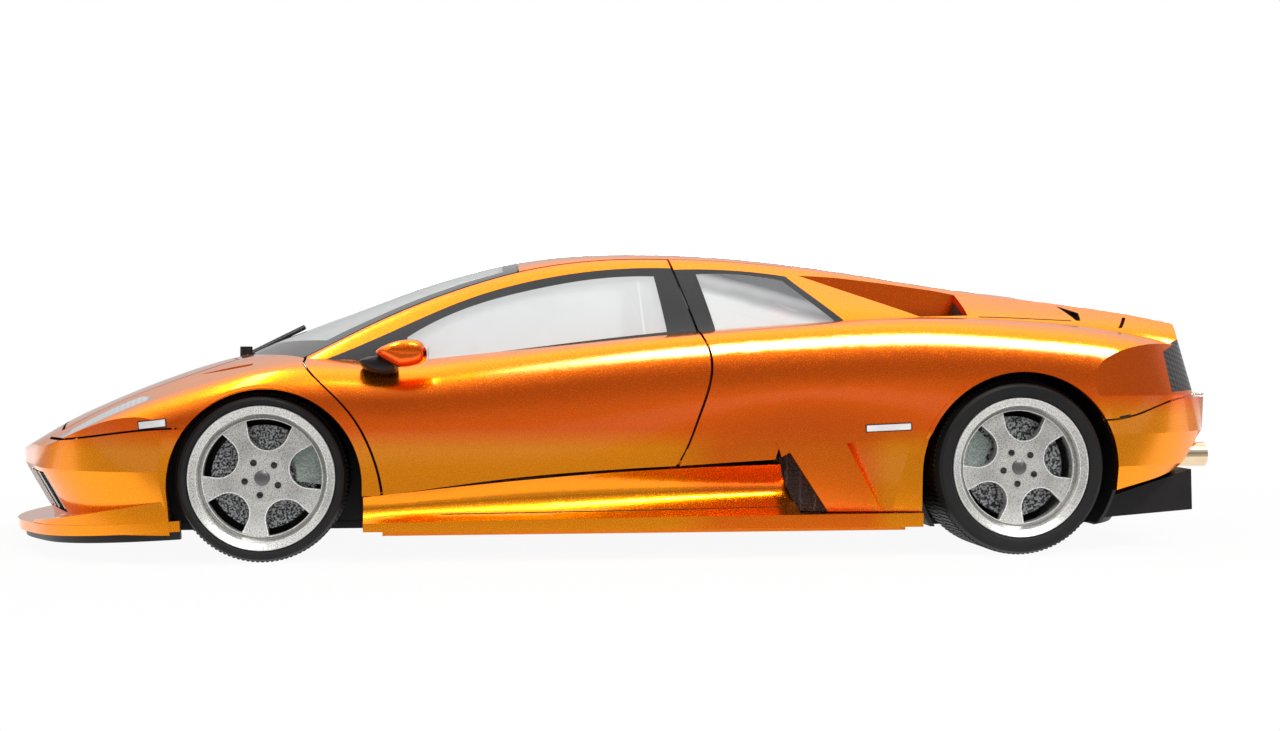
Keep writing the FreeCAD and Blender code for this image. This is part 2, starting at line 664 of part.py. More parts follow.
tail_skin = body_shell.fuse(cabin_shell).common(lamp_face)
lamp_half = 17.0
tail_lamps = tail_skin.cut(box(100, 220, -lamp_half, lamp_half, 0, 90))
tail_grille = tail_skin.common(box(100, 220, -lamp_half, lamp_half, 0, 90))
tail_slot_count = 4
tail_slot_pitch = 2.4
for i in range(tail_slot_count):
    low = 34.4 + i * tail_slot_pitch
    tail_grille = tail_grille.cut(box(170, 220, -15.6, 15.6, low, low + 1.2))
bumper_foot = [(194.8, 24.6), (190.6, 22.4), (185.8, 17.9), (176.9, 14.6), (163, 11.2)]
lower_seam = [(x, z - seam_gap) for x, z in rear_seam]
rear_bumper_block = side_prism(-70, 70, lower_seam, [lower_seam[-1], (200, 24.8)], [(200, 24.8), bumper_foot[0]],
                               bumper_foot, [bumper_foot[-1], lower_seam[0]])
rear_bumper = body_shell.common(rear_bumper_block).fuse(rear_flange)
diffuser_side = [[(168.6, 6.4), (169.2, 10.4)], [(169.2, 10.4), (187.6, 16.2)], [(187.6, 16.2), (187.8, 7.9)],
                 [(187.8, 7.9), (168.6, 6.4)]]
diffuser = side_prism(-46, 46, *diffuser_side)
channel_count = 6
fin_thick = 1.2
channel_pitch = (92 - fin_thick) / channel_count
for i in range(channel_count):
    start = -46 + fin_thick + i * channel_pitch
    end = start + channel_pitch - fin_thick
    diffuser = diffuser.cut(side_prism(start, end, [(169, 4.0), (171, 8.4)], [(171, 8.4), (190, 14.6)],
                                       [(190, 14.6), (190, 4.0)], [(190, 4.0), (169, 4.0)]))
tail_panel = box(184.0, 185.2, -44, 44, 15.0, 31.0).common(plan_form(2.0))
diffuser = diffuser.fuse(tail_panel)
exhaust_spots = [(35.2, 18.6), (29.0, 20.8)]
pipe_radius = float(exhaust_radius) - 0.4
pipe_length = 10.6
pipe_room = 0.06
pipes = []
for y, z in exhaust_spots:
    outer = Part.makeCylinder(pipe_radius, pipe_length, Vector(place(184.6), y, z), Vector(1, 0, 0))
    bore = Part.makeCylinder(pipe_radius - float(exhaust_wall), pipe_length, Vector(place(186.6), y, z),
                             Vector(1, 0, 0))
    pipes.append(outer.cut(bore))
diffuser = diffuser.cut([Part.makeCylinder(pipe_radius + pipe_room, 7, Vector(place(183), side * y, z), Vector(1, 0, 0))
                         for y, z in exhaust_spots for side in (-1, 1)])
for name, shape in (("tail_lamps", tail_lamps), ("tail_grille", tail_grille), ("rear_bumper", rear_bumper),
                    ("rear_diffuser", diffuser.cut(rear_flange)), ("exhaust_tips", both(Part.makeCompound(pipes)))):
    add_node(name, solids(shape))

# Nose: splitter, lip and grille slats

SPLITTER_HALF = [(-float(front_overhang), 0), (-55.4, 10), (-52.4, 20), (-47.8, 29.5), (-43.2, 37.5), (-36, 45),
                 (-27, 50), (-17, 52.6)]


def splitter_plate(inside, low, high):
    left = [(x + inside, -y) for x, y in reversed(SPLITTER_HALF[1:])]
    tip = [(SPLITTER_HALF[0][0] + inside, 0)]
    right = [(x, -y) for x, y in reversed(left)]
    edge = left + tip + right
    back = -14.9
    return plan_prism(low, high, edge, [edge[-1], (back, edge[-1][1])], [(back, edge[-1][1]), (back, edge[0][1])],
                      [(back, edge[0][1]), edge[0]])


splitter_low = 4.7
splitter_high = 6.7
splitter_rise = 3.8
steered_room = box(-21.5, 0, -51, 51, 0, 20)
splitter_hollow = box(-38.5, 0, -37, 37, 0, 10).fuse(steered_room)


def raised(shape):
    """The splitter and its lip rise a little towards the rear."""
    turned_shape = shape.copy()
    turned_shape.rotate(Vector(-40, 0, splitter_low), Vector(0, 1, 0), -splitter_rise)
    return turned_shape


splitter = raised(splitter_plate(0, splitter_low, splitter_high).cut(splitter_hollow))
front_lip = raised(splitter_plate(1.5, 3.2, splitter_low).cut(splitter_hollow))
flick_side = side_prism(-70, 70, [(-50, 5.6), (-50, 6.3)], [(-50, 6.3), (-18.4, 12.0)], [(-18.4, 12.0), (-15.6, 12.0)],
                        [(-15.6, 12.0), (-15.6, 5.6)], [(-15.6, 5.6), (-50, 5.6)])
flick = splitter_plate(0.3, 5.6, 14).common(flick_side).cut([body_core, box(-70, 0, -30, 30, 0, 30), arches])
flick = flick.cut(box(-21.5, 0, -50.6, 50.6, 0, 30))
nose_deep = plan_form(2.8)
nose_face = plan_form(0.5)
nose_box = box(-60, -34, -36, 36, 8.0, 17.2)
grille = body_core.common(nose_box).cut(nose_deep)
slats = []
slat_count = 18
slat_thick = 0.6
slat_pitch = 69.0 / (slat_count - 1)
for i in range(slat_count):
    middle_y = -34.5 + i * slat_pitch
    slab = box(-60, -36, middle_y - slat_thick / 2, middle_y + slat_thick / 2, 8.6, 16.6)
    slats.append(body_solid.common(slab).common(nose_face).cut(nose_deep))
grille = grille.cut(both(box(-39.5, -30, 30, 60, 0, 30)))
for name, shape in (("front_bumper", bumper.fuse([splitter, flick])), ("front_lip", front_lip.cut([bumper, splitter, flick])),
                    ("front_grilles", grille.fuse(slats))):
    add_node(name, solids(shape))

# Sills: each section as (top, waist, lip) in (y, z), between the front and rear wheels

SILL_TOP = smooth((18, 12.4), (40, 14.7), (65, 16.8), (80, 17.6), (105, 18.3))
SILL_SIDE = smooth((18, 53.4), (40, 53.5), (65, 53.6), (80, 53.4), (105, 52.4))
SILL_WAIST = smooth((18, 52.9), (40, 52.4), (65, 51.9), (80, 50.8), (105, 48.0))
SILL_LIP = smooth((18, 54.4), (40, 54.9), (65, 55.2), (80, 55.4), (129, 56.2))
SILL_LIP_TOP = smooth((18, 7.6), (40, 8.0), (65, 8.3), (129, 8.7))
sill_foot = 6.0
sill_back = 46.5


def sill_wire(station):
    x = place(station)
    top, side, waist = SILL_TOP(x), SILL_SIDE(x), SILL_WAIST(x)
    lip, lip_top = SILL_LIP(x), SILL_LIP_TOP(x)
    curve = Part.BSplineCurve()
    curve.interpolate([Vector(x, -side, top), Vector(x, -waist, 0.5 * top + 4.6), Vector(x, -lip, lip_top)])
    corner = [Vector(x, -lip, lip_top), Vector(x, -lip, sill_foot), Vector(x, -sill_back, sill_foot),
              Vector(x, -sill_back, top), Vector(x, -side, top)]
    lines = [Part.makeLine(a, b) for a, b in zip(corner, corner[1:])]
    return Part.Wire([curve.toShape()] + lines)


def lip_wire(station):
    x = place(station)
    lip, lip_top = SILL_LIP(x), SILL_LIP_TOP(x)
    corner = [Vector(x, -lip, lip_top), Vector(x, -lip, sill_foot), Vector(x, -sill_back, sill_foot),
              Vector(x, -sill_back, lip_top), Vector(x, -lip, lip_top)]
    return Part.Wire([Part.makeLine(a, b) for a, b in zip(corner, corner[1:])])


sill = Part.makeLoft([sill_wire(x) for x in (19.2, 40, 65, 80, 92, 103.6)], True)
sill_lip = Part.makeLoft([lip_wire(x) for x in (103.6, 116, 127.9)], True)
mesh_slot = side_prism(-60, -46.4, [(99.6, 19.4), (101.8, 20.6)], [(101.8, 20.6), (109.6, 8.9)], [(109.6, 8.9), (103.9, 8.9)],
                       [(103.9, 8.9), (99.6, 19.4)])
behind_mesh = side_prism(-60, -40, [(101.8, 20.6), (109.6, 8.4)], [(109.6, 8.4), (130, 8.4)], [(130, 8.4), (130, 30)],
                         [(130, 30), (101.8, 20.6)])
sill = sill.cut([mesh_slot, behind_mesh]).fuse(sill_lip)
mesh_face = plan_prism(0, 40, [(98, -48.6), (111, -53.0)], [(111, -53.0), (111, -51.9)], [(111, -51.9), (98, -47.5)],
                       [(98, -47.5), (98, -48.6)])
side_mesh = mesh_slot.common(mesh_face)
lower_quarter = side_prism(-60, -47.2, [(99.0, 23.0), (114, 24.2), (129, 24.8)], [(129, 24.8), (129, 8.9)],
                           [(129, 8.9), (103.9, 8.9)], [(103.9, 8.9), (99.0, 23.0)])
quarter_depth = 0.5
lower_quarter = lower_quarter.common(body_inside(quarter_depth)).cut([arch_rear, mesh_slot])
recess = side_prism(-60, -46, [(112.9, 22.4), (128, 23.4)], [(128, 23.4), (127, 9.4)], [(127, 9.4), (119.9, 9.4)],
                    [(119.9, 9.4), (112.9, 22.4)])
recess_cut = plan_prism(0, 40, [(111, -70), (111, -49.4)], [(111, -49.4), (128, -56.2)], [(128, -56.2), (128, -70)],
                        [(128, -70), (111, -70)])
lower_quarter = lower_quarter.cut(recess.common(recess_cut))
scoop_mesh = side_prism(-46.5, -32.4, [(141.0, 47.2), (141.0, 52.4)], [(141.0, 52.4), (142.0, 52.4)],
                        [(142.0, 52.4), (142.0, 47.2)], [(142.0, 47.2), (141.0, 47.2)]).common(cabin_solid)
scoop_wall = side_prism(-33.0, -32.2, *scoop_outline).common(cabin_core)
scoop_mesh = scoop_mesh.cut([scoop_wall, rear_body])
rear_body = rear_body.fuse([lower_quarter, mirrored(lower_quarter), scoop_wall, mirrored(scoop_wall)])
for name, shape in (("side_sills", both(sill)), ("side_intakes", both(side_mesh)),
                    ("shoulder_meshes", both(scoop_mesh)), ("rear_body", rear_body)):
    add_node(name, solids(shape))


# Sketches and features for the turned and milled pieces


def new_body(name, x, y, z, turn=0.0, spin=0.0):
    """A body for one sub-part, placed at a station, a side position and a height."""
    body = doc.addObject("PartDesign::Body", name)
    body.Label = name
    about_axle = Rotation(Vector(0, 1, 0), spin)
    body.Placement = Placement(Vector(0, 0, 0), Rotation(Vector(0, 0, 1), turn).multiply(about_axle))
    for axis, size in (("x", Size.of(x) + shift), ("y", Size.of(y)), ("z", Size.of(z))):
        body.setExpression("Placement.Base." + axis, size.text)
    nodes.append(body)
    return body


def origin_plane(body, role):
    return [f for f in body.Origin.OriginFeatures if f.Role == role][0]


def new_sketch(body, name, plane):
    sketch = body.newObject("Sketcher::SketchObject", name)
    sketch.AttachmentSupport = [(origin_plane(body, plane), "")]
    sketch.MapMode = "FlatFace"
    return sketch


def pin_point(sketch, geometry, vertex, across, up):
    """Tie one point of a sketch to its two sizes, measured from the origin."""
    for kind, size in (("DistanceX", across), ("DistanceY", up)):
        size = Size.of(size)
        index = sketch.addConstraint(Sketcher.Constraint(kind, -1, 1, geometry, vertex, size.value))
        sketch.setExpression("Constraints[%d]" % index, size.text)


def polygon(sketch, corners):
    """A closed outline of straight lines with every corner tied to its sizes."""
    spots = [Vector(float(x), float(y), 0) for x, y in corners]
    count = len(spots)
    for i in range(count):
        sketch.addGeometry(Part.LineSegment(spots[i], spots[(i + 1) % count]), False)
    for i in range(count):
        sketch.addConstraint(Sketcher.Constraint("Coincident", i, 2, (i + 1) % count, 1))
    for i, (x, y) in enumerate(corners):
        pin_point(sketch, i, 1, x, y)


def revolve(body, name, corners):
    """A revolution about the wheel's axis (Y) of a profile given as (radius, width)."""
    sketch = new_sketch(body, name + "_profile", "XY_Plane")
    polygon(sketch, corners)
    feature = body.newObject("PartDesign::Revolution", name)
    feature.Profile = sketch
    feature.ReferenceAxis = (sketch, ["V_Axis"])
    feature.Angle = 360
    sketch.Visibility = False
    return feature


def spread_round(body, name, feature, count):
    """Repeat a feature round the wheel's axis."""
    pattern = body.newObject("PartDesign::PolarPattern", name)
    pattern.Originals = [feature]
    pattern.Axis = (origin_plane(body, "Y_Axis"), [""])
    pattern.Angle = 360
    pattern.Occurrences = count
    body.Tip = pattern
    return pattern


def through_pocket(body, name, sketch):
    pocket = body.newObject("PartDesign::Pocket", name)
    pocket.Profile = sketch
    pocket.Type = 1
    pocket.Midplane = True
    return pocket


spoke_count = 5
window_outer = dim("window_outer", 11.2)
window_centre = dim("window_centre", 9.1)
window_round = dim("window_round", 3.9)
window_half = dim("window_half", 4.45)
window_turn = 7.0
lug_circle = dim("lug_circle", 3.3)
lug_radius = dim("lug_radius", 0.55)
hub_radius = dim("hub_radius", 4.2)
lip_height = dim("lip_height", 1.5)
barrel_wall = dim("barrel_wall", 0.8)
bore_radius = axle_radius + axle_clearance


def window_sketch(body, name):
    """One window between two spokes: an outer arc, two sides and a round inner end."""
    sketch = new_sketch(body, name, "XZ_Plane")
    outer, centre, radius, half = (float(s) for s in (window_outer, window_centre, window_round, window_half))
    height = math.sqrt(outer ** 2 - half ** 2)
    reach = math.hypot(half, height - centre)
    slope = math.atan2(height - centre, half) - math.acos(radius / reach)
    touch_x, touch_y = radius * math.cos(slope), centre + radius * math.sin(slope)
    start = math.atan2(height, half)
    origin, middle_point, axis = Vector(0, 0, 0), Vector(0, centre, 0), Vector(0, 0, 1)
    sketch.addGeometry(Part.ArcOfCircle(Part.Circle(origin, axis, outer), start, math.pi - start), False)
    sketch.addGeometry(Part.LineSegment(Vector(-half, height, 0), Vector(-touch_x, touch_y, 0)), False)
    sketch.addGeometry(Part.ArcOfCircle(Part.Circle(middle_point, axis, radius), math.pi - slope,
                                        2 * math.pi + slope), False)
    sketch.addGeometry(Part.LineSegment(Vector(touch_x, touch_y, 0), Vector(half, height, 0)), False)
    sketch.addConstraint(Sketcher.Constraint("Coincident", 0, 3, -1, 1))
    sketch.addConstraint(Sketcher.Constraint("Coincident", 0, 2, 1, 1))
    sketch.addConstraint(Sketcher.Constraint("Tangent", 1, 2, 2, 1))
    sketch.addConstraint(Sketcher.Constraint("Tangent", 2, 2, 3, 1))
    sketch.addConstraint(Sketcher.Constraint("Coincident", 3, 2, 0, 1))
    sketch.addConstraint(Sketcher.Constraint("PointOnObject", 2, 3, -2))
    for constraint, size in ((("Radius", 0), window_outer), (("Radius", 2), window_round),
                             (("DistanceY", -1, 1, 2, 3), window_centre),
                             (("DistanceX", -1, 1, 0, 1), window_half),
                             (("DistanceX", 0, 2, -1, 1), window_half)):
        index = sketch.addConstraint(Sketcher.Constraint(*constraint, size.value))
        sketch.setExpression("Constraints[%d]" % index, size.text)
    return sketch


def lug_sketch(body, name):
    sketch = new_sketch(body, name, "XZ_Plane")
    sketch.addGeometry(Part.Circle(Vector(0, -float(lug_circle), 0), Vector(0, 0, 1), float(lug_radius)), False)
    pin_point(sketch, 0, 3, 0.0, -lug_circle)
    index = sketch.addConstraint(Sketcher.Constraint("Radius", 0, float(lug_radius)))
    sketch.setExpression("Constraints[%d]" % index, lug_radius.text)
    return sketch


def wheel(name, x, y, radius, width, turn):
    """One wheel: tyre, rim with five spokes, and brake disc. Its outer face is at local -Y."""
    half = width / 2
    tyre = new_body(name + "_tyre", x, y, radius, turn)
    seat = rim_radius
    revolve(tyre, name + "_tyre_turned", [
        (seat, -half + 0.7), (seat + 1.3, -half), (radius - 1.5, -half + 0.25), (radius - 0.45, -half + 1.0),
        (radius, -half + 2.2), (radius, half - 2.2), (radius - 0.45, half - 1.0), (radius - 1.5, half - 0.25),
        (seat + 1.3, half), (seat, half - 0.7)])
    rim = new_body(name + "_rim", x, y, radius, turn, window_turn)
    revolve(rim, name + "_rim_turned", [
        (0.0, -half + 1.7), (hub_radius + 0.4, -half + 1.7), (window_outer + 0.2, -half + 2.5),
        (rim_radius - lip_height, -half + 1.0), (rim_radius - 0.2, -half + 0.3), (rim_radius, -half + 0.5),
        (rim_radius, half - 0.6), (rim_radius - barrel_wall, half - 0.6), (rim_radius - barrel_wall - 0.2, -half + 4.2),
        (window_outer, -half + 4.2), (hub_radius, -half + 4.4), (hub_radius, -half + 7.4),
        (bore_radius, -half + 7.4), (bore_radius, -half + 3.2), (0.0, -half + 3.2)])
    window = through_pocket(rim, name + "_window", window_sketch(rim, name + "_window_outline"))
    spread_round(rim, name + "_windows", window, spoke_count)
    lug = through_pocket(rim, name + "_lug", lug_sketch(rim, name + "_lug_outline"))
    spread_round(rim, name + "_lugs", lug, spoke_count)
    disc = new_body(name + "_disc", x, y, radius, turn)
    disc_face = -half + 5.2
    revolve(disc, name + "_disc_turned", [
        (hub_radius, disc_face), (disc_radius, disc_face), (disc_radius, disc_face + disc_thick),
        (hub_radius, disc_face + disc_thick)])
    return tyre, rim, disc


front_y = front_track / 2
rear_y = rear_track / 2
for side, sign, turn in (("left", -1, 0), ("right", 1, 180)):
    wheel(side + "_front_wheel", Size.of(0.0), sign * front_y, front_tyre_radius, front_tyre_width, turn)
    wheel(side + "_rear_wheel", wheelbase, sign * rear_y, rear_tyre_radius, rear_tyre_width, turn)

# Running gear


def sector(inner, outer, start, end, low, high, x, z):
    """A block between two radii and two angles round a wheel's axis, from y = low to y = high."""
    ring = cross_cylinder(outer, x, z, low, high).cut(cross_cylinder(inner, x, z, low - 1, high + 1))
    reach = outer * 1.5
    spots = [(x, z)]
    for i in range(5):
        angle = math.radians(start + (end - start) * i / 4)
        spots.append((x + reach * math.cos(angle), z + reach * math.sin(angle)))
    runs = [[a, b] for a, b in zip(spots, spots[1:] + spots[:1])]
    return ring.common(side_prism(low, high, *runs))


def caliper(x, wheel_y, half, radius, start, end, arm_end):
    """A caliper astride the left disc, with an arm behind it that reaches to y = arm_end."""
    face = -float(wheel_y) - half + 5.2
    outer = float(disc_radius) + 1.5
    block = sector(6.2, outer, start, end, face - 0.75, face + 3.4, x, radius)
    slot = cross_cylinder(float(disc_radius) + 0.35, x, radius, face - 0.35, face + float(disc_thick) + 0.35)
    middle_angle = (start + end) / 2
    arm = sector(8.0, outer - 0.3, middle_angle - 12, middle_angle + 12, face + 3.0, arm_end, x, radius)
    return block.cut(slot).fuse(arm)


front_radius = float(front_tyre_radius)
rear_radius = float(rear_tyre_radius)
front_half = float(front_tyre_width) / 2
rear_half = float(rear_tyre_width) / 2
kingpin_y = -float(kingpin_place)
axle = float(axle_radius)
stub_end = -float(front_y) - front_half + 3.5
stub_front = cross_cylinder(axle, 0, front_radius, stub_end, kingpin_y)
knuckle = box(-3.2, 3.2, -37.6, -32.8, front_radius - 5, front_radius + 5).fuse(stub_front)
knuckle = knuckle.cut(Part.makeCylinder(float(kingpin_radius) + 0.06, 20, Vector(0, kingpin_y, front_radius - 10)))
hoop_low = -37.6
front_caliper = caliper(0, front_y, front_half, front_radius, -8, 44, hoop_low)
bridge = box(2.8, 11.0, -38.0, -36.6, front_radius + 1.5, front_radius + 4.2)
knuckle = knuckle.fuse(bridge).cut(front_caliper)
kingpins = Part.makeCylinder(float(kingpin_radius), 17.4, Vector(0, kingpin_y, front_radius - 9.5))
carrier_low = box(-4, 4, -37, -30, front_radius - 9.6, front_radius - 5.4)
carrier_high = box(-4, 4, -37, -30, front_radius + 5.4, front_radius + 7.9)
carriers = carrier_low.fuse([carrier_high, kingpins])
rear_face = -float(rear_y) - rear_half
stub_rear = Part.makeCylinder(axle, -34.0 - (rear_face + 3.5), Vector(float(wheelbase), rear_face + 3.5, rear_radius),
                              Vector(0, 1, 0))
rear_block_axle = box(rear_station - 4, rear_station + 4, -37.0, -34.0, rear_radius - 5, rear_radius + 5)
rear_axle = stub_rear.fuse(rear_block_axle)
rear_caliper = caliper(rear_station, rear_y, rear_half, rear_radius, 136, 188, -34.6)
for side, turned in (("left", lambda s: s), ("right", mirrored)):
    add_node(side + "_knuckle", turned(knuckle))
    add_node(side + "_front_caliper", turned(front_caliper))
add_node("rear_axle", both(rear_axle))
add_node("rear_calipers", both(rear_caliper))

# Base, tub and wheel wells

floor_low = float(floor_bottom)
floor_high = floor_low + float(floor_thick)
plate = box(-38.3, -19, -36.8, 36.8, floor_low, floor_high)
for x0, x1, half_width in ((-19, 22.5, 31.0), (22.5, 127, 46.4), (127, 169, 36.0), (169, 185, 45)):
    plate = plate.fuse(box(x0, x1, -half_width, half_width, floor_low, floor_high))
plate = plate.common(plan_form(6.0))

front_well_radius = 22.2
front_well_place = -0.1
rear_well_radius = 20.6


def wheel_well(x, z, radius, wall_y, depth):
    """A moulded well: a wall inboard of the wheel and a hoop over it."""
    hoop = cross_cylinder(radius + 0.8, x, z, wall_y - depth, wall_y + 0.8).cut(
        cross_cylinder(radius, x, z, wall_y - depth - 1, wall_y))
    foot = box(x - 30, x + 30, -70, 0, -20, floor_high)
    return hoop.cut(foot)


front_well = wheel_well(front_well_place, front_radius, front_well_radius, -30.8, 20.4)
rear_well = wheel_well(rear_station, rear_radius, rear_well_radius, -34.8, 19)
front_well = front_well.common(body_core).cut([carriers, front_jamb, bumper_flange, sill, flick, splitter])
rear_well = rear_well.common(body_core).cut([rear_axle, rear_caliper, lower_quarter, rear_flange])
plate = plate.fuse([carriers, mirrored(carriers)])
for x in (float(front_post_place), float(wheelbase) + float(rear_post_place)):
    foot = Vector(x, 0, floor_low)
    post = Part.makeCylinder(float(post_radius), float(post_height), foot)
    plate = plate.fuse(post).cut(Part.makeCylinder(float(screw_radius), float(screw_depth), foot))
tub_low = floor_high
half = float(tub_half)
wall = float(tub_wall)
tub_front = 24.4
tub_rear = float(bulkhead_place)
tub = box(tub_front, tub_rear, -half, half, tub_low, tub_low + wall)
tub = tub.fuse([box(tub_front, tub_rear, -half, -half + wall, tub_low, 12.4),
                box(tub_front, tub_rear, half - wall, half, tub_low, 12.4),
                box(tub_rear - wall, tub_rear, -half, half, tub_low, 40.0),
                box(float(firewall_place), float(firewall_place) + wall, -29.9, 29.9, tub_low, 34.0),
                box(float(firewall_place), tub_front + wall, -29.9, 29.9, tub_low, tub_low + wall)])
for name, shape in (("chassis_base", plate), ("wheel_wells", both(Part.makeCompound([front_well, rear_well]))),
                    ("cabin_tub", tub)):
    add_node(name, solids(shape))

# Cabin and bays


def seat(y):
    """One bucket seat: cushion, backrest with wings and headrest, as one moulding."""
    w = float(seat_width) / 2
    base = [[(44, 8), (44, 15.5)], [(44, 15.5), (52, 16.6), (66, 14.2)], [(66, 14.2), (72, 20), (84, 46)],
            [(84, 46), (88, 50), (91.5, 47)], [(91.5, 47), (80, 18)], [(80, 18), (77, 7.4)], [(77, 7.4), (44, 8)]]
    block = side_prism(y - w, y + w, *base)
    dish = side_prism(y - w + 4, y + w - 4, [(43, 18), (43, 14.0)], [(43, 14.0), (54, 14.6), (66, 12.4)],
                      [(66, 12.4), (74, 20), (84, 42)], [(84, 42), (78, 46)], [(78, 46), (60, 30)], [(60, 30), (43, 18)])
    head = box(76, 95, y - w - 1, y - 5.5, 41.5, 60).fuse(box(76, 95, y + 5.5, y + w + 1, 41.5, 60))
    return block.cut([dish, head])


seats = Part.makeCompound([seat(-float(seat_place)), seat(float(seat_place))])
dash = side_prism(-40, 40, [(9, 33), (14, 38.5), (26, 41.0)], [(26, 41.0), (31, 36), (29.5, 28)],
                  [(29.5, 28), (9, 29)], [(9, 29), (9, 33)])
dash_body = dash.common(plan_prism(0, HIGH, [(9, -33), (20, -37), (31, -40)], [(31, -40), (31, 40)],
                                   [(31, 40), (20, 37), (9, 33)], [(9, 33), (9, -33)]))
well_room = cross_cylinder(front_well_radius + 0.9, front_well_place, front_radius, -60, -29.8)
dash_body = dash_body.common(cabin_core).cut([well_room, mirrored(well_room)])
wheel_centre = Vector(place(37.5), -float(seat_place), 33.0)
wheel_axis = Vector(-0.94, 0, 0.34)
steering = Part.makeTorus(float(steering_wheel_radius), 0.8, wheel_centre, wheel_axis)
steering = steering.fuse(Part.makeCylinder(2.4, 2.0, wheel_centre, wheel_axis))
steering = steering.fuse(Part.makeCylinder(0.9, 9.0, wheel_centre, wheel_axis))
for angle in (90, 210, 330):
    spoke = Part.makeBox(float(steering_wheel_radius), 1.4, 1.0, Vector(0, -0.7, 0))
    spoke.rotate(Vector(0, 0, 0), Vector(0, 0, 1), angle)
    spoke.Placement = Placement(wheel_centre, Rotation(Vector(0, 0, 1), wheel_axis)).multiply(spoke.Placement)
    steering = steering.fuse(spoke)
steering = steering.cut(dash_body)
console = side_prism(-6, 6, [(31.5, tub_low + wall), (28.5, 28)], [(28.5, 28), (34, 27), (44, 20)],
                     [(44, 20), (98, 19)], [(98, 19), (98, tub_low + wall)],
                     [(98, tub_low + wall), (31.5, tub_low + wall)]).cut(dash_body)
engine_block = side_prism(-15, 15, [(104, 12), (104, 40)], [(104, 40), (112, 45), (150, 43), (158, 38)],
                          [(158, 38), (158, 12)], [(158, 12), (104, 12)])
engine_mount = box(106, 156, -12, 12, floor_high, 12.0)
engine_block = engine_block.fuse(engine_mount)
luggage = box(-38, -8, -26, 26, floor_high, 9.0).fuse(box(-38, -8, -26, 26, 9.0, 22.0))
luggage = luggage.cut(box(-36.8, -9.2, -24.8, 24.8, 10.2, 40))
luggage = luggage.common(plan_form(4.0)).common(body_core)
rear_window = side_prism(-27, 27, [(100.2, 40.0), (104.6, 58.6)], [(104.6, 58.6), (105.5, 58.6)],
                         [(105.5, 58.6), (101.1, 40.0)], [(101.1, 40.0), (100.2, 40.0)]).common(cabin_core)
for name, shape in (("seats", seats), ("dashboard", dash_body), ("steering_wheel", steering), ("console", console),
                    ("engine_block", engine_block), ("luggage_tub", luggage), ("rear_window", rear_window)):
    add_node(name, solids(shape))

# Door card, mirror and wiper

card_region = door_region(-step_reach - 0.7)
card_rear = 75.0
door_card = card_region.common(body_core).common(box(0, card_rear, -60, -46.8, 0, HIGH))
door_card = door_card.cut([cabin_solid, well_room])
mirror_foot = side_prism(-57.5, -46.6, [(17.0, 36.4), (20, 39.4)], [(20, 39.4), (26.0, 38.2)], [(26.0, 38.2), (24.5, 35.6)],
                         [(24.5, 35.6), (17.0, 36.4)])
mirror_foot = mirror_foot.cut([body_solid, cabin_solid])
mirror_head = side_prism(-64.5, -54.5, [(18.6, 38.6), (21.5, 42.6), (28.6, 43.0)], [(28.6, 43.0), (31.6, 41.6)],
                         [(31.6, 41.6), (31.8, 38.2)], [(31.8, 38.2), (26, 37.4), (18.6, 38.6)])
mirror_plan = plan_prism(20, 60, [(18.6, -57.2), (22, -62.0), (31.8, -63.8)], [(31.8, -63.8), (31.8, -55.0)],
                         [(31.8, -55.0), (18.6, -57.2)])
mirror_head = mirror_head.common(mirror_plan)
mirror = mirror_head.fuse(mirror_foot)
wiper_low = Vector(-8.0, -11.0, 39.6)
wiper_high = Vector(3.5, -3.0, 45.9)
blade = Part.makeCylinder(0.55, wiper_low.distanceToPoint(wiper_high), wiper_low, wiper_high - wiper_low)
wiper = blade.fuse(Part.makeCylinder(1.3, 3.2, Vector(-8.0, -11.0, 38.4))).cut([body_solid, cabin_solid])
for side, turned in (("left", lambda s: s), ("right", mirrored)):
    add_node(side + "_door_card", solids(turned(door_card)))
    add_node(side + "_mirror", solids(turned(mirror)))
for name, shape in (("right_door_skin", door_skin), ("right_door_frame", door_frame), ("right_door_glass", door_glass)):
    add_node(name, solids(mirrored(shape)))
add_node("wiper", solids(wiper))

doc.recompute()
bad = [o.Name for o in doc.Objects if "Invalid" in o.State or "Error" in o.State]
assert not bad, bad
os.makedirs("parts", exist_ok=True)
for node in nodes:
    shape = node.Shape
    if shape.isNull() or not shape.isValid() or not shape.Solids:
        print("PROBLEM", node.Label, shape.isNull() or (shape.isValid(), len(shape.Solids)))
    else:
        print(node.Label, len(shape.Solids), round(shape.Volume), shape.BoundBox)
        shape.exportStep("parts/" + node.Label + ".step")
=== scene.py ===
import json
import math

import bmesh
import bpy
from bpy.props import FloatProperty, FloatVectorProperty, IntProperty, PointerProperty
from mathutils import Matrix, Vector
from mathutils.bvhtree import BVHTree

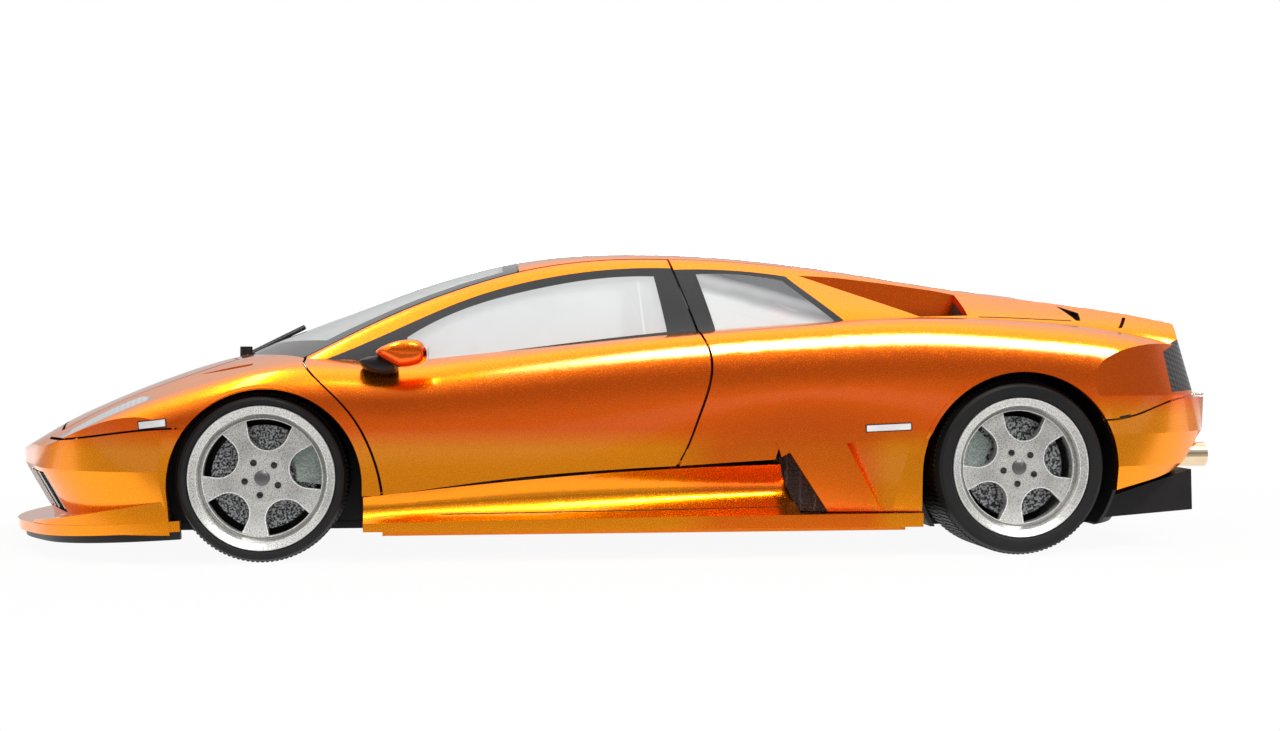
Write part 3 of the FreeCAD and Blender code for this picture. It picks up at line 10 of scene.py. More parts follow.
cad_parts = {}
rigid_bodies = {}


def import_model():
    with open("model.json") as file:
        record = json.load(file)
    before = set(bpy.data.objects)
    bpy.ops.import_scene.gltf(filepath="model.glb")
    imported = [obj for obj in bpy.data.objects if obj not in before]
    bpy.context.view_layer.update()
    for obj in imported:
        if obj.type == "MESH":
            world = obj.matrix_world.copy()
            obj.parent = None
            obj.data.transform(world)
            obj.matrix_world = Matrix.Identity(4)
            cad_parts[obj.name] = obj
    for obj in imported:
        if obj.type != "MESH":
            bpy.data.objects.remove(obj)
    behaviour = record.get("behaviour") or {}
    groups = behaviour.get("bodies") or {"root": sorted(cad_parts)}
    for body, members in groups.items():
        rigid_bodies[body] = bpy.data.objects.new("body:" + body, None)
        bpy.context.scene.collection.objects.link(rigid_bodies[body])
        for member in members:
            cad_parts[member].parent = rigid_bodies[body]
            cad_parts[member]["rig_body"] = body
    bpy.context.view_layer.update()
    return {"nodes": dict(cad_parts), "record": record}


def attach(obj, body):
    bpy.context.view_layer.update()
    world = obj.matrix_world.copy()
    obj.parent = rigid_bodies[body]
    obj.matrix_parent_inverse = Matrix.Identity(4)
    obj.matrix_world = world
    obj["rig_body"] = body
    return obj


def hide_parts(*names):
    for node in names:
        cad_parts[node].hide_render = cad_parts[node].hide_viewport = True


bl_info = {
    "name": "Supercar scale model finishes",
    "version": (1, 0, 0),
    "blender": (4, 5, 0),
    "location": "3D View > Sidebar > Car model",
    "description": "Paint, glass, wheels and fittings for a die-cast model of a wedge-shaped supercar",
    "category": "Object",
}

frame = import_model()
MM = 0.001

# Sizes in mm: where the front axle is along X, the rear axle's station behind it, and the wheels' radii
SHIFT = -70.25
REAR_AXLE = 148.0
FRONT_RADIUS, REAR_RADIUS = 16.2, 17.4
SIDES = ((-1, "left"), (1, "right"))

def at(station, y, z):
    """A place in metres from a station behind the front axle, a side position and a height in mm."""
    return Vector(((station + SHIFT) * MM, y * MM, z * MM))

# Material graphs written as expressions

class Wire:
    """An output of a node that takes part in expressions."""

    def __init__(self, graph, socket):
        self.graph = graph
        self.socket = socket

    def math(self, operation, *others):
        return self.graph.math(operation, self, *others)

    def __add__(self, other):
        return self.math("ADD", other)

    def __sub__(self, other):
        return self.math("SUBTRACT", other)

    def __rsub__(self, other):
        return self.graph.math("SUBTRACT", other, self)

    def __mul__(self, other):
        return self.math("MULTIPLY", other)

    def __truediv__(self, other):
        return self.math("DIVIDE", other)

    def __pow__(self, other):
        return self.math("POWER", other)

    def __gt__(self, other):
        return self.math("GREATER_THAN", other)

    def __lt__(self, other):
        return self.math("LESS_THAN", other)

    def __abs__(self):
        return self.math("ABSOLUTE")

    __radd__ = __add__
    __rmul__ = __mul__

    def clamp(self):
        return self.graph.add("ShaderNodeClamp", {}, [self])

    def ramp(self, start, end):
        """0 at the start and 1 at the end, even between them and level beyond."""
        return ((self - start) * (1.0 / (end - start))).clamp()

    def near(self, middle, reach):
        """1 at the middle, falling evenly to 0 at its reach."""
        return (1.0 - abs(self - middle) * (1.0 / reach)).clamp()

    def stripes(self, pitch):
        """Soft stripes between 0 and 1, one to a pitch."""
        return (self * (2 * math.pi / pitch)).math("SINE") * 0.5 + 0.5

    def twin(self, output):
        """Another output of the same node."""
        return Wire(self.graph, self.socket.node.outputs[output])

class Graph:
    """The node tree of one material or of the world."""

    def __init__(self, name, owner=None):
        self.owner = owner or bpy.data.materials.new(name)
        self.owner.use_nodes = True
        self.tree = self.owner.node_tree
        self.tree.nodes.clear()

    def add(self, kind, settings=None, inputs=(), output=0):
        """A node of a type, with its settings and the values or links of its sockets."""
        node = self.tree.nodes.new(kind)
        for key, value in (settings or {}).items():
            if key == "stops":
                elements = node.color_ramp.elements
                for i, (place, grey) in enumerate(value):
                    stop = elements[i] if i < 2 else elements.new(place)
                    stop.position = place
                    stop.color = (grey, grey, grey, 1)
            else:
                setattr(node, key, value)
        for key, value in inputs.items() if isinstance(inputs, dict) else enumerate(inputs):
            if isinstance(value, Wire):
                self.tree.links.new(value.socket, node.inputs[key])
            else:
                node.inputs[key].default_value = value
        return Wire(self, node.outputs[output])

    def math(self, operation, *values):
        return self.add("ShaderNodeMath", {"operation": operation}, values)

    def split(self, vector):
        """The x, y and z of a vector."""
        x = self.add("ShaderNodeSeparateXYZ", {}, [vector])
        return x, x.twin("Y"), x.twin("Z")

    def place(self):
        """Object coordinates in millimetres, whole and split into x, y and z."""
        metres = self.add("ShaderNodeTexCoord", output="Object")
        spot = self.add("ShaderNodeVectorMath", {"operation": "SCALE"}, {0: metres, "Scale": 1.0 / MM})
        return spot, self.split(spot)

    def rays(self):
        """Whether a ray is the camera's, straight or through glass, and whether it is a reflection."""
        camera = self.add("ShaderNodeLightPath", output="Is Camera Ray")
        return (camera + camera.twin("Is Transmission Ray")).clamp(), camera.twin("Is Glossy Ray")

    def slant(self):
        """Near 0 where a pane is seen straight on, and 1 where it is seen edge on."""
        return self.add("ShaderNodeLayerWeight", {}, {"Blend": 0.5}, "Facing") ** 3.0

    def blend(self, low, high, factor):
        """Two colours mixed by a factor."""
        return self.add("ShaderNodeMix", {"data_type": "RGBA"}, {0: factor, 6: low, 7: high}, 2)

    def noise(self, spot, scale, detail=2.0):
        return self.add("ShaderNodeTexNoise", {}, {"Vector": spot, "Scale": scale, "Detail": detail})

    def grains(self, spot, size, output="Distance"):
        """Cells of a size in mm."""
        return self.add("ShaderNodeTexVoronoi", {}, {"Vector": spot, "Scale": 1.0 / size}, output)

    def flakes(self, spot, size):
        """A grey of its own for each cell of a size in mm."""
        return self.add("ShaderNodeSeparateColor", {}, [self.grains(spot, size, "Color")])

    def bump(self, height, strength, distance):
        return self.add("ShaderNodeBump", {}, {"Height": height, "Strength": strength, "Distance": distance})

    def finish(self, **inputs):
        """The material, with the inputs of its main shader."""
        named = {key.replace("_", " "): value for key, value in inputs.items()}
        self.output(self.add("ShaderNodeBsdfPrincipled", {}, named))
        return self.owner

    def output(self, shader, kind="ShaderNodeOutputMaterial"):
        self.tree.links.new(shader.socket, self.tree.nodes.new(kind).inputs[0])

def rgb(red, green, blue):
    """A colour as it looks on a screen, from 0 to 255, turned into linear values."""
    def linear(v):
        v /= 255
        return v / 12.92 if v <= 0.04045 else ((v + 0.055) / 1.055) ** 2.4
    return (linear(red), linear(green), linear(blue), 1.0)

def scaled(colour, factor, lift=0.0):
    """A colour made lighter or darker."""
    return tuple(min(1.0, c * factor + lift) for c in colour[:3]) + (1.0,)

BLACK = rgb(30, 28, 29)
PAINT_METAL = 0.96
GLASS_SPECULAR = 0.6

# Finishes

def metallic_paint(name, mask=None):
    """Orange lacquer over fine flakes, with painted light in its colour: golden where it faces up, as if lit
    from above; golden along its lower edges as a painted reflection of the bright floor; and a painted pale
    highlight along the rear shoulders. A mask of x, y and the upward part of the normal turns some of it
    black."""
    settings = bpy.context.scene.carmodel_paint
    g = Graph(name)
    spot, (x, y, z) = g.place()
    lit = g.flakes(spot, settings.flake / MM)
    up = g.split(g.add("ShaderNodeNewGeometry", output="Normal"))[2]
    behind_door = x.ramp(SHIFT + 78.0, SHIFT + 88.0) * x.ramp(SHIFT + 122.0, SHIFT + 117.0)
    tail = x > SHIFT + 158.0
    # Painted reflection: the lower flanks turn golden as if they mirrored the bright floor; less behind the
    # door, and reaching 6 mm higher at the tail
    low = (z - tail * 6.0).ramp(25.5, 21.33333) * (1.0 - behind_door * 0.75)
    # Painted light: the bright colour's share grows where the surface faces up, as if lit from above, and with
    # the painted floor reflection below
    share = ((up * 1.5 - 0.2).clamp() + low + lit * 0.16 - 0.08).clamp()
    # Painted highlight: a pale band where the normal's upward part is near 0.46, along the shoulders from
    # station 40, in full from 80
    shoulder = x.ramp(SHIFT + 40.0, SHIFT + 80.0) * z.ramp(28.0, 30.0)
    painted_highlight = up.near(0.46, 0.166667) * shoulder * 0.95
    colour = g.blend(g.blend(settings.deep, settings.bright, share), settings.pale, painted_highlight)
    metal = PAINT_METAL
    if mask is not None:
        dark = mask(x, y, up)
        colour = g.blend(colour, BLACK, dark)
        metal = (1.0 - dark) * PAINT_METAL
    return g.finish(Base_Color=colour, Metallic=metal, Roughness=lit * 0.08 + 0.2,
                    Normal=g.bump(lit, settings.depth, 0.00001), Specular_Tint=(1.0, 0.55, 0.25, 1.0),
                    Coat_Weight=1.0, Coat_Roughness=0.02, Coat_IOR=1.27)

def deck_cut_mask(x, y, up):
    """The walls of the notch and the slit in the rear deck."""
    aside = abs(y)
    notch = (x > SHIFT + 163.1) * (x < SHIFT + 167.9) * (aside > 33.2) * (aside < 42.2)
    slit = (x > SHIFT + 174.6) * (x < SHIFT + 178.6) * (aside > 33.8) * (aside < 38.6)
    return (notch + slit) * (up < 0.72)

def moulded_plastic(name, colour, roughness, grain, depth, mask=None, mask_colour=None):
    """Plastic with a fine moulded grain and a faint mottle. A mask of x, y and z gives parts of it another
    colour."""
    g = Graph(name)
    spot, places = g.place()
    fine = g.noise(spot, grain, 3.0)
    shade = g.blend(colour, scaled(colour, 1.7, 0.004), g.noise(spot, 0.12))
    if mask is not None:
        shade = g.blend(shade, mask_colour, mask(*places))
    return g.finish(Base_Color=shade, Roughness=fine * 0.18 + (roughness - 0.09), Specular_IOR_Level=0.28,
                    Normal=g.bump(fine, depth, 0.00004))

def painted_lit_edge_mask(_, y, z):
    """The car floor's edges under the sills, where light is painted on: they take the bright golden orange of
    a lit sill lip, though they lie in shade.
    """
    return (abs(y) > 45.8) * (z < 6.8)

def clear_pane(name, tint, edge, least):
    """Thin milky plastic, denser where it is seen at a slant."""
    g = Graph(name)
    spot, _ = g.place()
    return g.finish(Base_Color=g.blend(tint, edge, g.noise(spot, 0.08)), Roughness=0.03,
                    Alpha=(g.slant() + least).clamp(), Specular_IOR_Level=GLASS_SPECULAR)

def painted_reflection_pane(name, pale, grey, least):
    """The quarter window: milky, with painted reflections as soft grey bands that grow towards its upper rear
    corner.
    """
    g = Graph(name)
    spot, (x, _, z) = g.place()
    wave = g.noise(spot, 0.1)
    # Painted reflection: wavy grey bands that grow towards the upper rear corner
    bands = (z * 1.5 + (x - (SHIFT + 84.0)) * 0.42 + wave * 3.0).math("SINE") * 0.2
    corner = ((x - (SHIFT + 87.0)) * 0.05 + (z - 51.5) * 0.14 + bands).clamp()
    return g.finish(Base_Color=g.blend(pale, grey, corner), Roughness=0.05, Alpha=corner * 0.1 + least,
                    Specular_IOR_Level=GLASS_SPECULAR)

def screen_pane(name, tint, least, black):
    """The windscreen: clear, with a black printed band along its edges."""
    g = Graph(name)
    _, (x, y, _) = g.place()
    half_widths = [(0.0, 0.84), (0.33, 0.828), (0.4375, 0.752), (0.575, 0.676), (0.725, 0.616), (0.9, 0.58)]
    edge = g.add("ShaderNodeValToRGB", {"stops": half_widths}, [(x + 90.0) / 80.0])
    side = abs(y) / 50.0 > edge - 0.055
    foot = x + y ** 2.0 * -0.0115 < SHIFT - 4.4
    head = x > SHIFT + 46.4
    band = (side + foot + head).clamp()
    return g.finish(Base_Color=g.blend(tint, black, band), Roughness=0.03,
                    Alpha=(g.slant() + least + band).clamp(), Specular_IOR_Level=GLASS_SPECULAR)

def lamp_pane(name, tint, edge, dark):
    """The headlamp's lens: milky over fine ribs, with a dark tip and a dark slit at its upper end."""
    g = Graph(name)
    _, (x, _, z) = g.place()
    rib = (x * 0.8 + z).stripes(1.256637)
    ends = ((x < SHIFT - 38.2) + (x > SHIFT - 22.4)).clamp()
    return g.finish(Base_Color=g.blend(g.blend(tint, edge, rib), dark, ends), Roughness=0.12, Coat_Weight=1.0,
                    Coat_Roughness=0.02, Specular_IOR_Level=GLASS_SPECULAR, Normal=g.bump(rib, 0.25, 0.0001))

def ribbed_lens(name, dark, light, pitch):
    """A dark lens with fine upright ribs."""
    g = Graph(name)
    _, (x, y, z) = g.place()
    height = (z + x * 0.25).stripes(pitch) * 0.7 + y.stripes(pitch) * 0.3
    return g.finish(Base_Color=g.blend(dark, light, height), Roughness=0.35, Specular_IOR_Level=0.25,
                    Normal=g.bump(height, 0.5, 0.0002))

def axle_distance(x, z):
    """Distance in mm from the nearer axle."""
    rear = x > SHIFT + REAR_AXLE / 2
    along = x - (rear * REAR_AXLE + SHIFT)
    above = z - (rear * (REAR_RADIUS - FRONT_RADIUS) + FRONT_RADIUS)
    return (along * along + above * above).math("SQRT")

def grainy_silver(name, dark, light, size, depth, roughness, metal=0.35, rings=False):
    """Silver paint with a fine visible grain. With rings, painted shade darkens the groove behind a rim's lip,
    and its dish.
    """
    g = Graph(name)
    spot, (x, _, z) = g.place()
    lit = g.flakes(spot, size)
    colour = g.blend(dark, light, lit)
    if rings:
        radius = axle_distance(x, z)
        # Painted shade: dark grey in the groove behind the lip, and a fainter grey over the dish
        groove = radius.near(11.85, 0.3125) * 0.75
        dish = radius.near(6.8, 3.125) * 0.3
        colour = g.blend(colour, rgb(92, 92, 90), (groove + dish).clamp())
    return g.finish(Base_Color=colour, Metallic=metal, Roughness=lit * 0.15 + roughness,
                    Normal=g.bump(lit, depth, 0.00003), Coat_Weight=0.5, Coat_Roughness=0.05)

def stippled_disc(name, dark, light):
    """Cast brake disc with a coarse light and dark stipple."""
    g = Graph(name)
    spot, _ = g.place()
    specks = g.noise(spot, 2.3, 4.0)
    return g.finish(Base_Color=g.blend(dark, light, ((specks - 0.44) * 7.0).clamp()), Metallic=0.4,
                    Roughness=0.5, Normal=g.bump(specks, 0.6, 0.0002))

def plain_metal(name, colour, roughness, brush):
    """Bare metal with fine drawn lines."""
    g = Graph(name)
    _, (x, y, z) = g.place()
    lines = g.noise(g.add("ShaderNodeCombineXYZ", {}, [x * 0.2, y * brush, z * brush]), 2.0)
    return g.finish(Base_Color=g.blend(colour, scaled(colour, 0.75), lines), Metallic=1.0,
                    Roughness=lines * 0.1 + roughness)

def open_mesh(name, hollow_shade, strand_colour, pitch):
    """Black mesh: raised strands round hollows painted dark as the shade seen through its openings."""
    g = Graph(name)
    spot, _ = g.place()
    cells = g.add("ShaderNodeTexVoronoi", {"feature": "DISTANCE_TO_EDGE"},
                  {"Vector": spot, "Scale": 1.0 / pitch, "Randomness": 0.15})
    strand = (1.0 - cells * 6.0).clamp()
    # Painted shade: the cells between the strands are dark as openings in shade
    return g.finish(Base_Color=g.blend(hollow_shade, strand_colour, strand), Roughness=0.45,
                    Normal=g.bump(strand, 0.9, 0.0003))

def soft_trim(name, colour, size):
    """Fine grained seat covering."""
    g = Graph(name)
    spot, _ = g.place()
    grain = g.grains(spot, size)
    return g.finish(Base_Color=g.blend(colour, scaled(colour, 2.2), grain), Roughness=0.6,
                    Normal=g.bump(grain, 0.5, 0.0001))

# Every finish by its name; most are named as the record's material slots are
FINISHES = {
    "body_paint": lambda: metallic_paint("orange_lacquer"),
    "rear_paint": lambda: metallic_paint("orange_lacquer_rear", deck_cut_mask),
    # Painted light: the floor's edges under the sills are a bright golden orange that stands for a lit sill
    # lip
    "floor_black": lambda: moulded_plastic("matt_black_floor_painted_lit_edges", rgb(22, 21, 22), roughness=0.6, grain=1.1,
                                           depth=0.35, mask=painted_lit_edge_mask, mask_colour=rgb(255, 170, 30)),
    "black_trim": lambda: moulded_plastic("satin_black_plastic", rgb(19, 17, 18), roughness=0.42, grain=1.8,
                                          depth=0.2),
    "black_moulding": lambda: moulded_plastic("matt_black_moulding", rgb(22, 21, 22), roughness=0.6,
                                              grain=1.1, depth=0.35),
    # Black for seams and badge frames, and for the painted shade along the sills
    "groove_and_shade_black": lambda: moulded_plastic("groove_and_shade_black", rgb(12, 10, 9), roughness=0.7, grain=2.0,
                                            depth=0.1),
    "tyre": lambda: moulded_plastic("plain_rubber", rgb(11, 10, 10), roughness=0.6, grain=2.0, depth=0.3),
    "badge_plate": lambda: moulded_plastic("blank_badge_plate", rgb(205, 205, 208), roughness=0.3, grain=0.5,
                                           depth=0.0),
    "engine_casting": lambda: moulded_plastic("engine_casting", rgb(60, 58, 56), roughness=0.5, grain=0.8,
                                              depth=0.5),
    "clear_glass": lambda: clear_pane("clear_side_pane", rgb(236, 239, 239), rgb(252, 253, 253), least=0.52),
    # The quarter window carries painted reflections as grey bands
    "quarter_glass": lambda: painted_reflection_pane("quarter_pane_painted_reflections", rgb(250, 251, 251), rgb(112, 114, 117),
                                         least=0.6),
    "screen_glass": lambda: screen_pane("windscreen_pane", rgb(222, 226, 225), 0.1, rgb(26, 24, 25)),
    "lamp_glass": lambda: lamp_pane("lamp_pane", rgb(196, 200, 204), rgb(232, 235, 238), rgb(38, 35, 36)),
    "dark_lens": lambda: ribbed_lens("ribbed_tail_lens", rgb(20, 17, 18), rgb(62, 58, 59), pitch=1.1),
    "open_mesh": lambda: open_mesh("open_mesh", rgb(10, 9, 10), rgb(60, 57, 58), pitch=0.9),
    "mirror_glass": lambda: plain_metal("mirror_glass", rgb(226, 230, 232), roughness=0.02, brush=0.2),
    "chrome": lambda: plain_metal("warm_chrome", rgb(236, 212, 178), roughness=0.07, brush=1.0),
    "steel": lambda: plain_metal("turned_steel", rgb(120, 120, 120), roughness=0.35, brush=2.0),
    # The rim's silver carries rings of painted shade
    "silver_paint": lambda: grainy_silver("grainy_silver_paint", rgb(184, 184, 181), rgb(218, 218, 213),
                                          size=0.12, depth=0.05, roughness=0.24, metal=0.55, rings=True),
    "bright_edge": lambda: grainy_silver("bright_edge", rgb(236, 236, 234), rgb(250, 250, 248), size=0.2,
                                         depth=0.0, roughness=0.2),
    "caliper_paint": lambda: grainy_silver("grey_green_caliper", rgb(104, 116, 110), rgb(160, 172, 165),
                                           size=0.2, depth=0.3, roughness=0.35),
    "disc_metal": lambda: stippled_disc("stippled_disc", rgb(38, 38, 40), rgb(178, 180, 182)),
    "seat_trim": lambda: soft_trim("seat_trim", rgb(34, 32, 33), size=0.5),
}
# Nodes whose finish isn't the one of their slot
NODE_FINISHES = {"rear_body": "rear_paint", "windscreen": "screen_glass", "quarter_windows": "quarter_glass",
                 "chassis_base": "floor_black", "side_intakes": "open_mesh", "shoulder_meshes": "open_mesh"}
shelf = {}

def finish(key):
    """A finish by its name, made when it is first asked for."""
    if key not in shelf:
        shelf[key] = FINISHES[key]()
    return shelf[key]

# Mesh helpers

def body_of(node):
    return frame["nodes"][node]["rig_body"]

def add_object(name, data):
    """A new object in the scene."""
    item = bpy.data.objects.new(name, data)
    bpy.context.scene.collection.objects.link(item)
    return item

def add_piece(name, shape, body, look, angle=35.0, replaces=()):
    """A mesh piece from vertices in metres and faces, which rides on a body."""
    verts, faces = shape
    mesh = bpy.data.meshes.new(name)
    mesh.from_pydata([tuple(v) for v in verts], [], faces)
    work = bmesh.new()
    work.from_mesh(mesh)
    bmesh.ops.remove_doubles(work, verts=work.verts, dist=1e-6)
    bmesh.ops.recalc_face_normals(work, faces=work.faces)
    work.to_mesh(mesh)
    work.free()
    return settle(name, mesh, body, look, angle, replaces)

def settle(name, mesh, body, look, angle=35.0, replaces=()):
    """Give a finished mesh its object, its body and its finish."""
    piece = add_object(name, mesh)
    mesh.materials.clear()
    mesh.materials.append(finish(look))
    mesh.shade_smooth()
    mesh.set_sharp_from_angle(angle=math.radians(angle))
    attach(piece, body)
    if replaces:
        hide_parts(*replaces)
    return piece

def skin(rings, closed=False):
    """Vertices and faces over rings of points. The last ring meets the first, or both ends are capped."""
    count = len(rings[0])
    faces = []
    for i in range(len(rings) if closed else len(rings) - 1):
        a, b = i * count, (i + 1) % len(rings) * count
        faces += [(a + k, a + (k + 1) % count, b + (k + 1) % count, b + k) for k in range(count)]
    if not closed:
        last = (len(rings) - 1) * count
        faces += [tuple(range(count)), tuple(range(last, last + count))]
    return [point for ring in rings for point in ring], faces

def joined(shapes):
    """The vertices and faces of several shapes as one shape."""
    verts, faces = [], []
    for more_verts, more_faces in shapes:
        start = len(verts)
        verts += more_verts
        faces += [tuple(start + i for i in face) for face in more_faces]
    return verts, faces

def turned(profile, centre, side, steps):
    """A closed ring or cap from a profile of (radius, depth); depth runs inwards from the outer face."""
    x, y, z = centre
    rings = []
    for i in range(steps):
        a = 2 * math.pi * i / steps
        rings.append([((x + r * math.sin(a)) * MM, (y - side * depth) * MM, (z + r * math.cos(a)) * MM)
                      for r, depth in profile])
    return skin(rings, closed=True)

class Surface:
    """The outer surface of a few CAD nodes of one body, on which details are laid."""

    OUTSIDE = 90.0      # mm from the middle, where rays start
    LEAST_ASIDE = 30.0  # mm, nearer to the middle than the skin of any flank

    def __init__(self, *nodes):
        shapes = []
        for node in nodes:
            mesh = frame["nodes"][node].data
            shapes.append(([v.co.copy() for v in mesh.vertices], [tuple(p.vertices) for p in mesh.polygons]))
        self.tree = BVHTree.FromPolygons(*joined(shapes))
        self.body = body_of(nodes[0])

    def hit(self, station, z, side):
        """The place and outward normal where a level ray from the side meets the skin, or None."""
        start = at(station, side * self.OUTSIDE, z)
        place, normal, _, _ = self.tree.ray_cast(start, Vector((0, -side, 0)))
        if place is None or abs(place.y) < self.LEAST_ASIDE * MM:
            return None
        return place, -normal if normal.y * side < 0 else normal

    def below(self, station, y):
        """The height in mm where an upright ray meets the surface from above."""
        place, _, _, _ = self.tree.ray_cast(at(station, y, self.OUTSIDE), Vector((0, 0, -1)))
        return place.z / MM

def lay_strip(name, surface, points, width, height, look, side):
    """A raised strip along points (station, z) on a surface, with square edges and a foot sunk a little.
    Points that fall into a gap of the surface are left out."""
    sink, gap_depth = 0.15 * MM, 1.5 * MM
    spots = [spot for spot in (surface.hit(x, z, side) for x, z in points) if spot]
    depths = [abs(place.y) for place, _ in spots]
    spots = [spot for i, spot in enumerate(spots)
             if depths[i] > max(depths[max(i - 1, 0)], depths[min(i + 1, len(depths) - 1)]) - gap_depth]
    if len(spots) < 2:
        raise RuntimeError("no surface under " + name)
    rings = []
    for i, (place, normal) in enumerate(spots):
        before, after = spots[max(i - 1, 0)][0], spots[min(i + 1, len(spots) - 1)][0]
        across = (after - before).cross(normal).normalized() * (width * MM / 2)
        up, foot = normal * (height * MM), normal * -sink
        rings.append([place - across + foot, place - across + up, place + across + up, place + across + foot])
    return add_piece(name, skin(rings), surface.body, look)

def curve_points(points, steps):
    """A smooth run through points in the side view."""
    ends = [points[0], *points, points[-1]]
    made = []
    for i in range(1, len(ends) - 2):
        p = [Vector(q) for q in ends[i - 1:i + 3]]
        for k in range(steps):
            t = k / steps
            spot = 0.5 * (2 * p[1] + (p[2] - p[0]) * t + (2 * p[0] - 5 * p[1] + 4 * p[2] - p[3]) * t ** 2
                          + (3 * p[1] - p[0] - 3 * p[2] + p[3]) * t ** 3)
            made.append((spot.x, spot.y))
    return made + [tuple(points[-1])]

def line_points(points, steps):
    """More points along a run of straight lines."""
    made = []
    for (x0, z0), (x1, z1) in zip(points, points[1:]):
        made += [(x0 + (x1 - x0) * i / steps, z0 + (z1 - z0) * i / steps) for i in range(steps)]
    return made + [points[-1]]

def between(points, y):
    """The station at a side distance y, along points (station, y)."""
    for (x0, y0), (x1, y1) in zip(points, points[1:]):
        if y0 <= y <= y1:
            return x0 + (x1 - x0) * (y - y0) / (y1 - y0)

def path_mesh(name, paths):
    """A mesh of separate open paths."""
    mesh = bpy.data.meshes.new(name)
    verts, edges = [], []
    for path in paths:
        start = len(verts)
        verts += [tuple(p) for p in path]
        edges += [(start + i, start + i + 1) for i in range(len(path) - 1)]
    mesh.from_pydata(verts, edges, [])
    return mesh

def point_mesh(name, places):
    return path_mesh(name, [[place] for place in places])

# Geometry Nodes patterns

class Pattern:
    """A node tree that repeats one block, with named inputs for its sizes and its finish."""

    def __init__(self, name, sizes):
        self.tree = bpy.data.node_groups.new(name, "GeometryNodeTree")
        face = self.tree.interface
        face.new_socket("Geometry", in_out="OUTPUT", socket_type="NodeSocketGeometry")
        face.new_socket("Geometry", in_out="INPUT", socket_type="NodeSocketGeometry")
        self.keys = {}
        for label, kind in {**sizes, "Finish": "Material"}.items():
            socket = face.new_socket(label, in_out="INPUT", socket_type="NodeSocket" + kind)
            self.keys[label] = socket.identifier
        self.source = self.tree.nodes.new("NodeGroupInput")

    def size(self, label):
        return self.source.outputs[label]

    def node(self, kind, settings=None, **links):
        """A node of a type; n0 and n1 stand for its first and second socket."""
        node = self.tree.nodes.new(kind)
        for key, value in (settings or {}).items():
            setattr(node, key, value)
        for key, value in links.items():
            socket = node.inputs[int(key[1:]) if key in ("n0", "n1") else key.replace("_", " ")]
            if isinstance(value, bpy.types.NodeSocket):
                self.tree.links.new(value, socket)
            else:
                socket.default_value = value
        return node

    def close(self, instances):
        """Turn the instances into a mesh in its finish."""
        real = self.node("GeometryNodeRealizeInstances", Geometry=instances)
        done = self.node("GeometryNodeSetMaterial", Geometry=real.outputs[0], Material=self.size("Finish"))
        out = self.tree.nodes.new("NodeGroupOutput")
        self.tree.links.new(done.outputs[0], out.inputs[0])
        return self

    def make(self, name, body, look, mesh=None, **sizes):
        """A plain mesh piece from the pattern."""
        holder = add_object(name + "_pattern", mesh or bpy.data.meshes.new(name + "_path"))
        step = holder.modifiers.new("pattern", "NODES")
        step.node_group = self.tree
        for label, value in {**sizes, "Finish": finish(look)}.items():
            step[self.keys[label]] = value
        graph = bpy.context.evaluated_depsgraph_get()
        made = bpy.data.meshes.new_from_object(holder.evaluated_get(graph))
        made.name = name
        bpy.data.objects.remove(holder)
        return settle(name, made, body, look, 30.0)

def round_axle(name, shape):
    """Blocks or short cylinders set evenly round a wheel's axle."""
    p = Pattern(name, {"Count": "Int", "Radius": "Float", "Block": "Vector", "Turn": "Float",
                       "Centre": "Vector"})
    ring = p.node("GeometryNodeMeshCircle", Vertices=p.size("Count"), Radius=p.size("Radius"))
    if shape == "block":
        block = p.node("GeometryNodeMeshCube", Size=p.size("Block"))
    else:
        split = p.node("ShaderNodeSeparateXYZ", n0=p.size("Block"))
        block = p.node("GeometryNodeMeshCylinder", Vertices=20, Radius=split.outputs[0],
                       Depth=split.outputs[2])
    index = p.node("GeometryNodeInputIndex")
    share = p.node("ShaderNodeMath", {"operation": "DIVIDE"}, n0=index.outputs[0], n1=p.size("Count"))
    angle = p.node("ShaderNodeMath", {"operation": "MULTIPLY"}, n0=share.outputs[0], n1=2 * math.pi)
    about = p.node("ShaderNodeCombineXYZ", Z=angle.outputs[0])
    copies = p.node("GeometryNodeInstanceOnPoints", Points=ring.outputs[0], Instance=block.outputs[0],
                    Rotation=about.outputs[0])
    rolled = p.node("ShaderNodeCombineXYZ", Z=p.size("Turn"))
    roll = p.node("GeometryNodeTransform", Geometry=copies.outputs[0], Rotation=rolled.outputs[0])
    stand = p.node("GeometryNodeTransform", Geometry=roll.outputs[0], Rotation=(math.pi / 2, 0, 0),
                   Translation=p.size("Centre"))
    return p.close(stand.outputs[0])

def on_points(name):
    """Blocks at given points, each leaning by the same angle about the Y axis."""
    p = Pattern(name, {"Block": "Vector", "Lean": "Float"})
    block = p.node("GeometryNodeMeshCube", Size=p.size("Block"))
    lean = p.node("ShaderNodeCombineXYZ", Y=p.size("Lean"))
    copies = p.node("GeometryNodeInstanceOnPoints", Points=p.source.outputs[0], Instance=block.outputs[0],
                    Rotation=lean.outputs[0])
    return p.close(copies.outputs[0])

def pipes_on_paths(name):
    """Round pipes with closed ends along paths."""
    p = Pattern(name, {"Radius": "Float", "Sides": "Int"})
    paths = p.node("GeometryNodeMeshToCurve", n0=p.source.outputs[0])
    ring = p.node("GeometryNodeCurvePrimitiveCircle", Resolution=p.size("Sides"), Radius=p.size("Radius"))
    pipes = p.node("GeometryNodeCurveToMesh", n0=paths.outputs[0], Profile_Curve=ring.outputs[0],
                   Fill_Caps=True)
    return p.close(pipes.outputs[0])

# Sizes and colours that a user would change

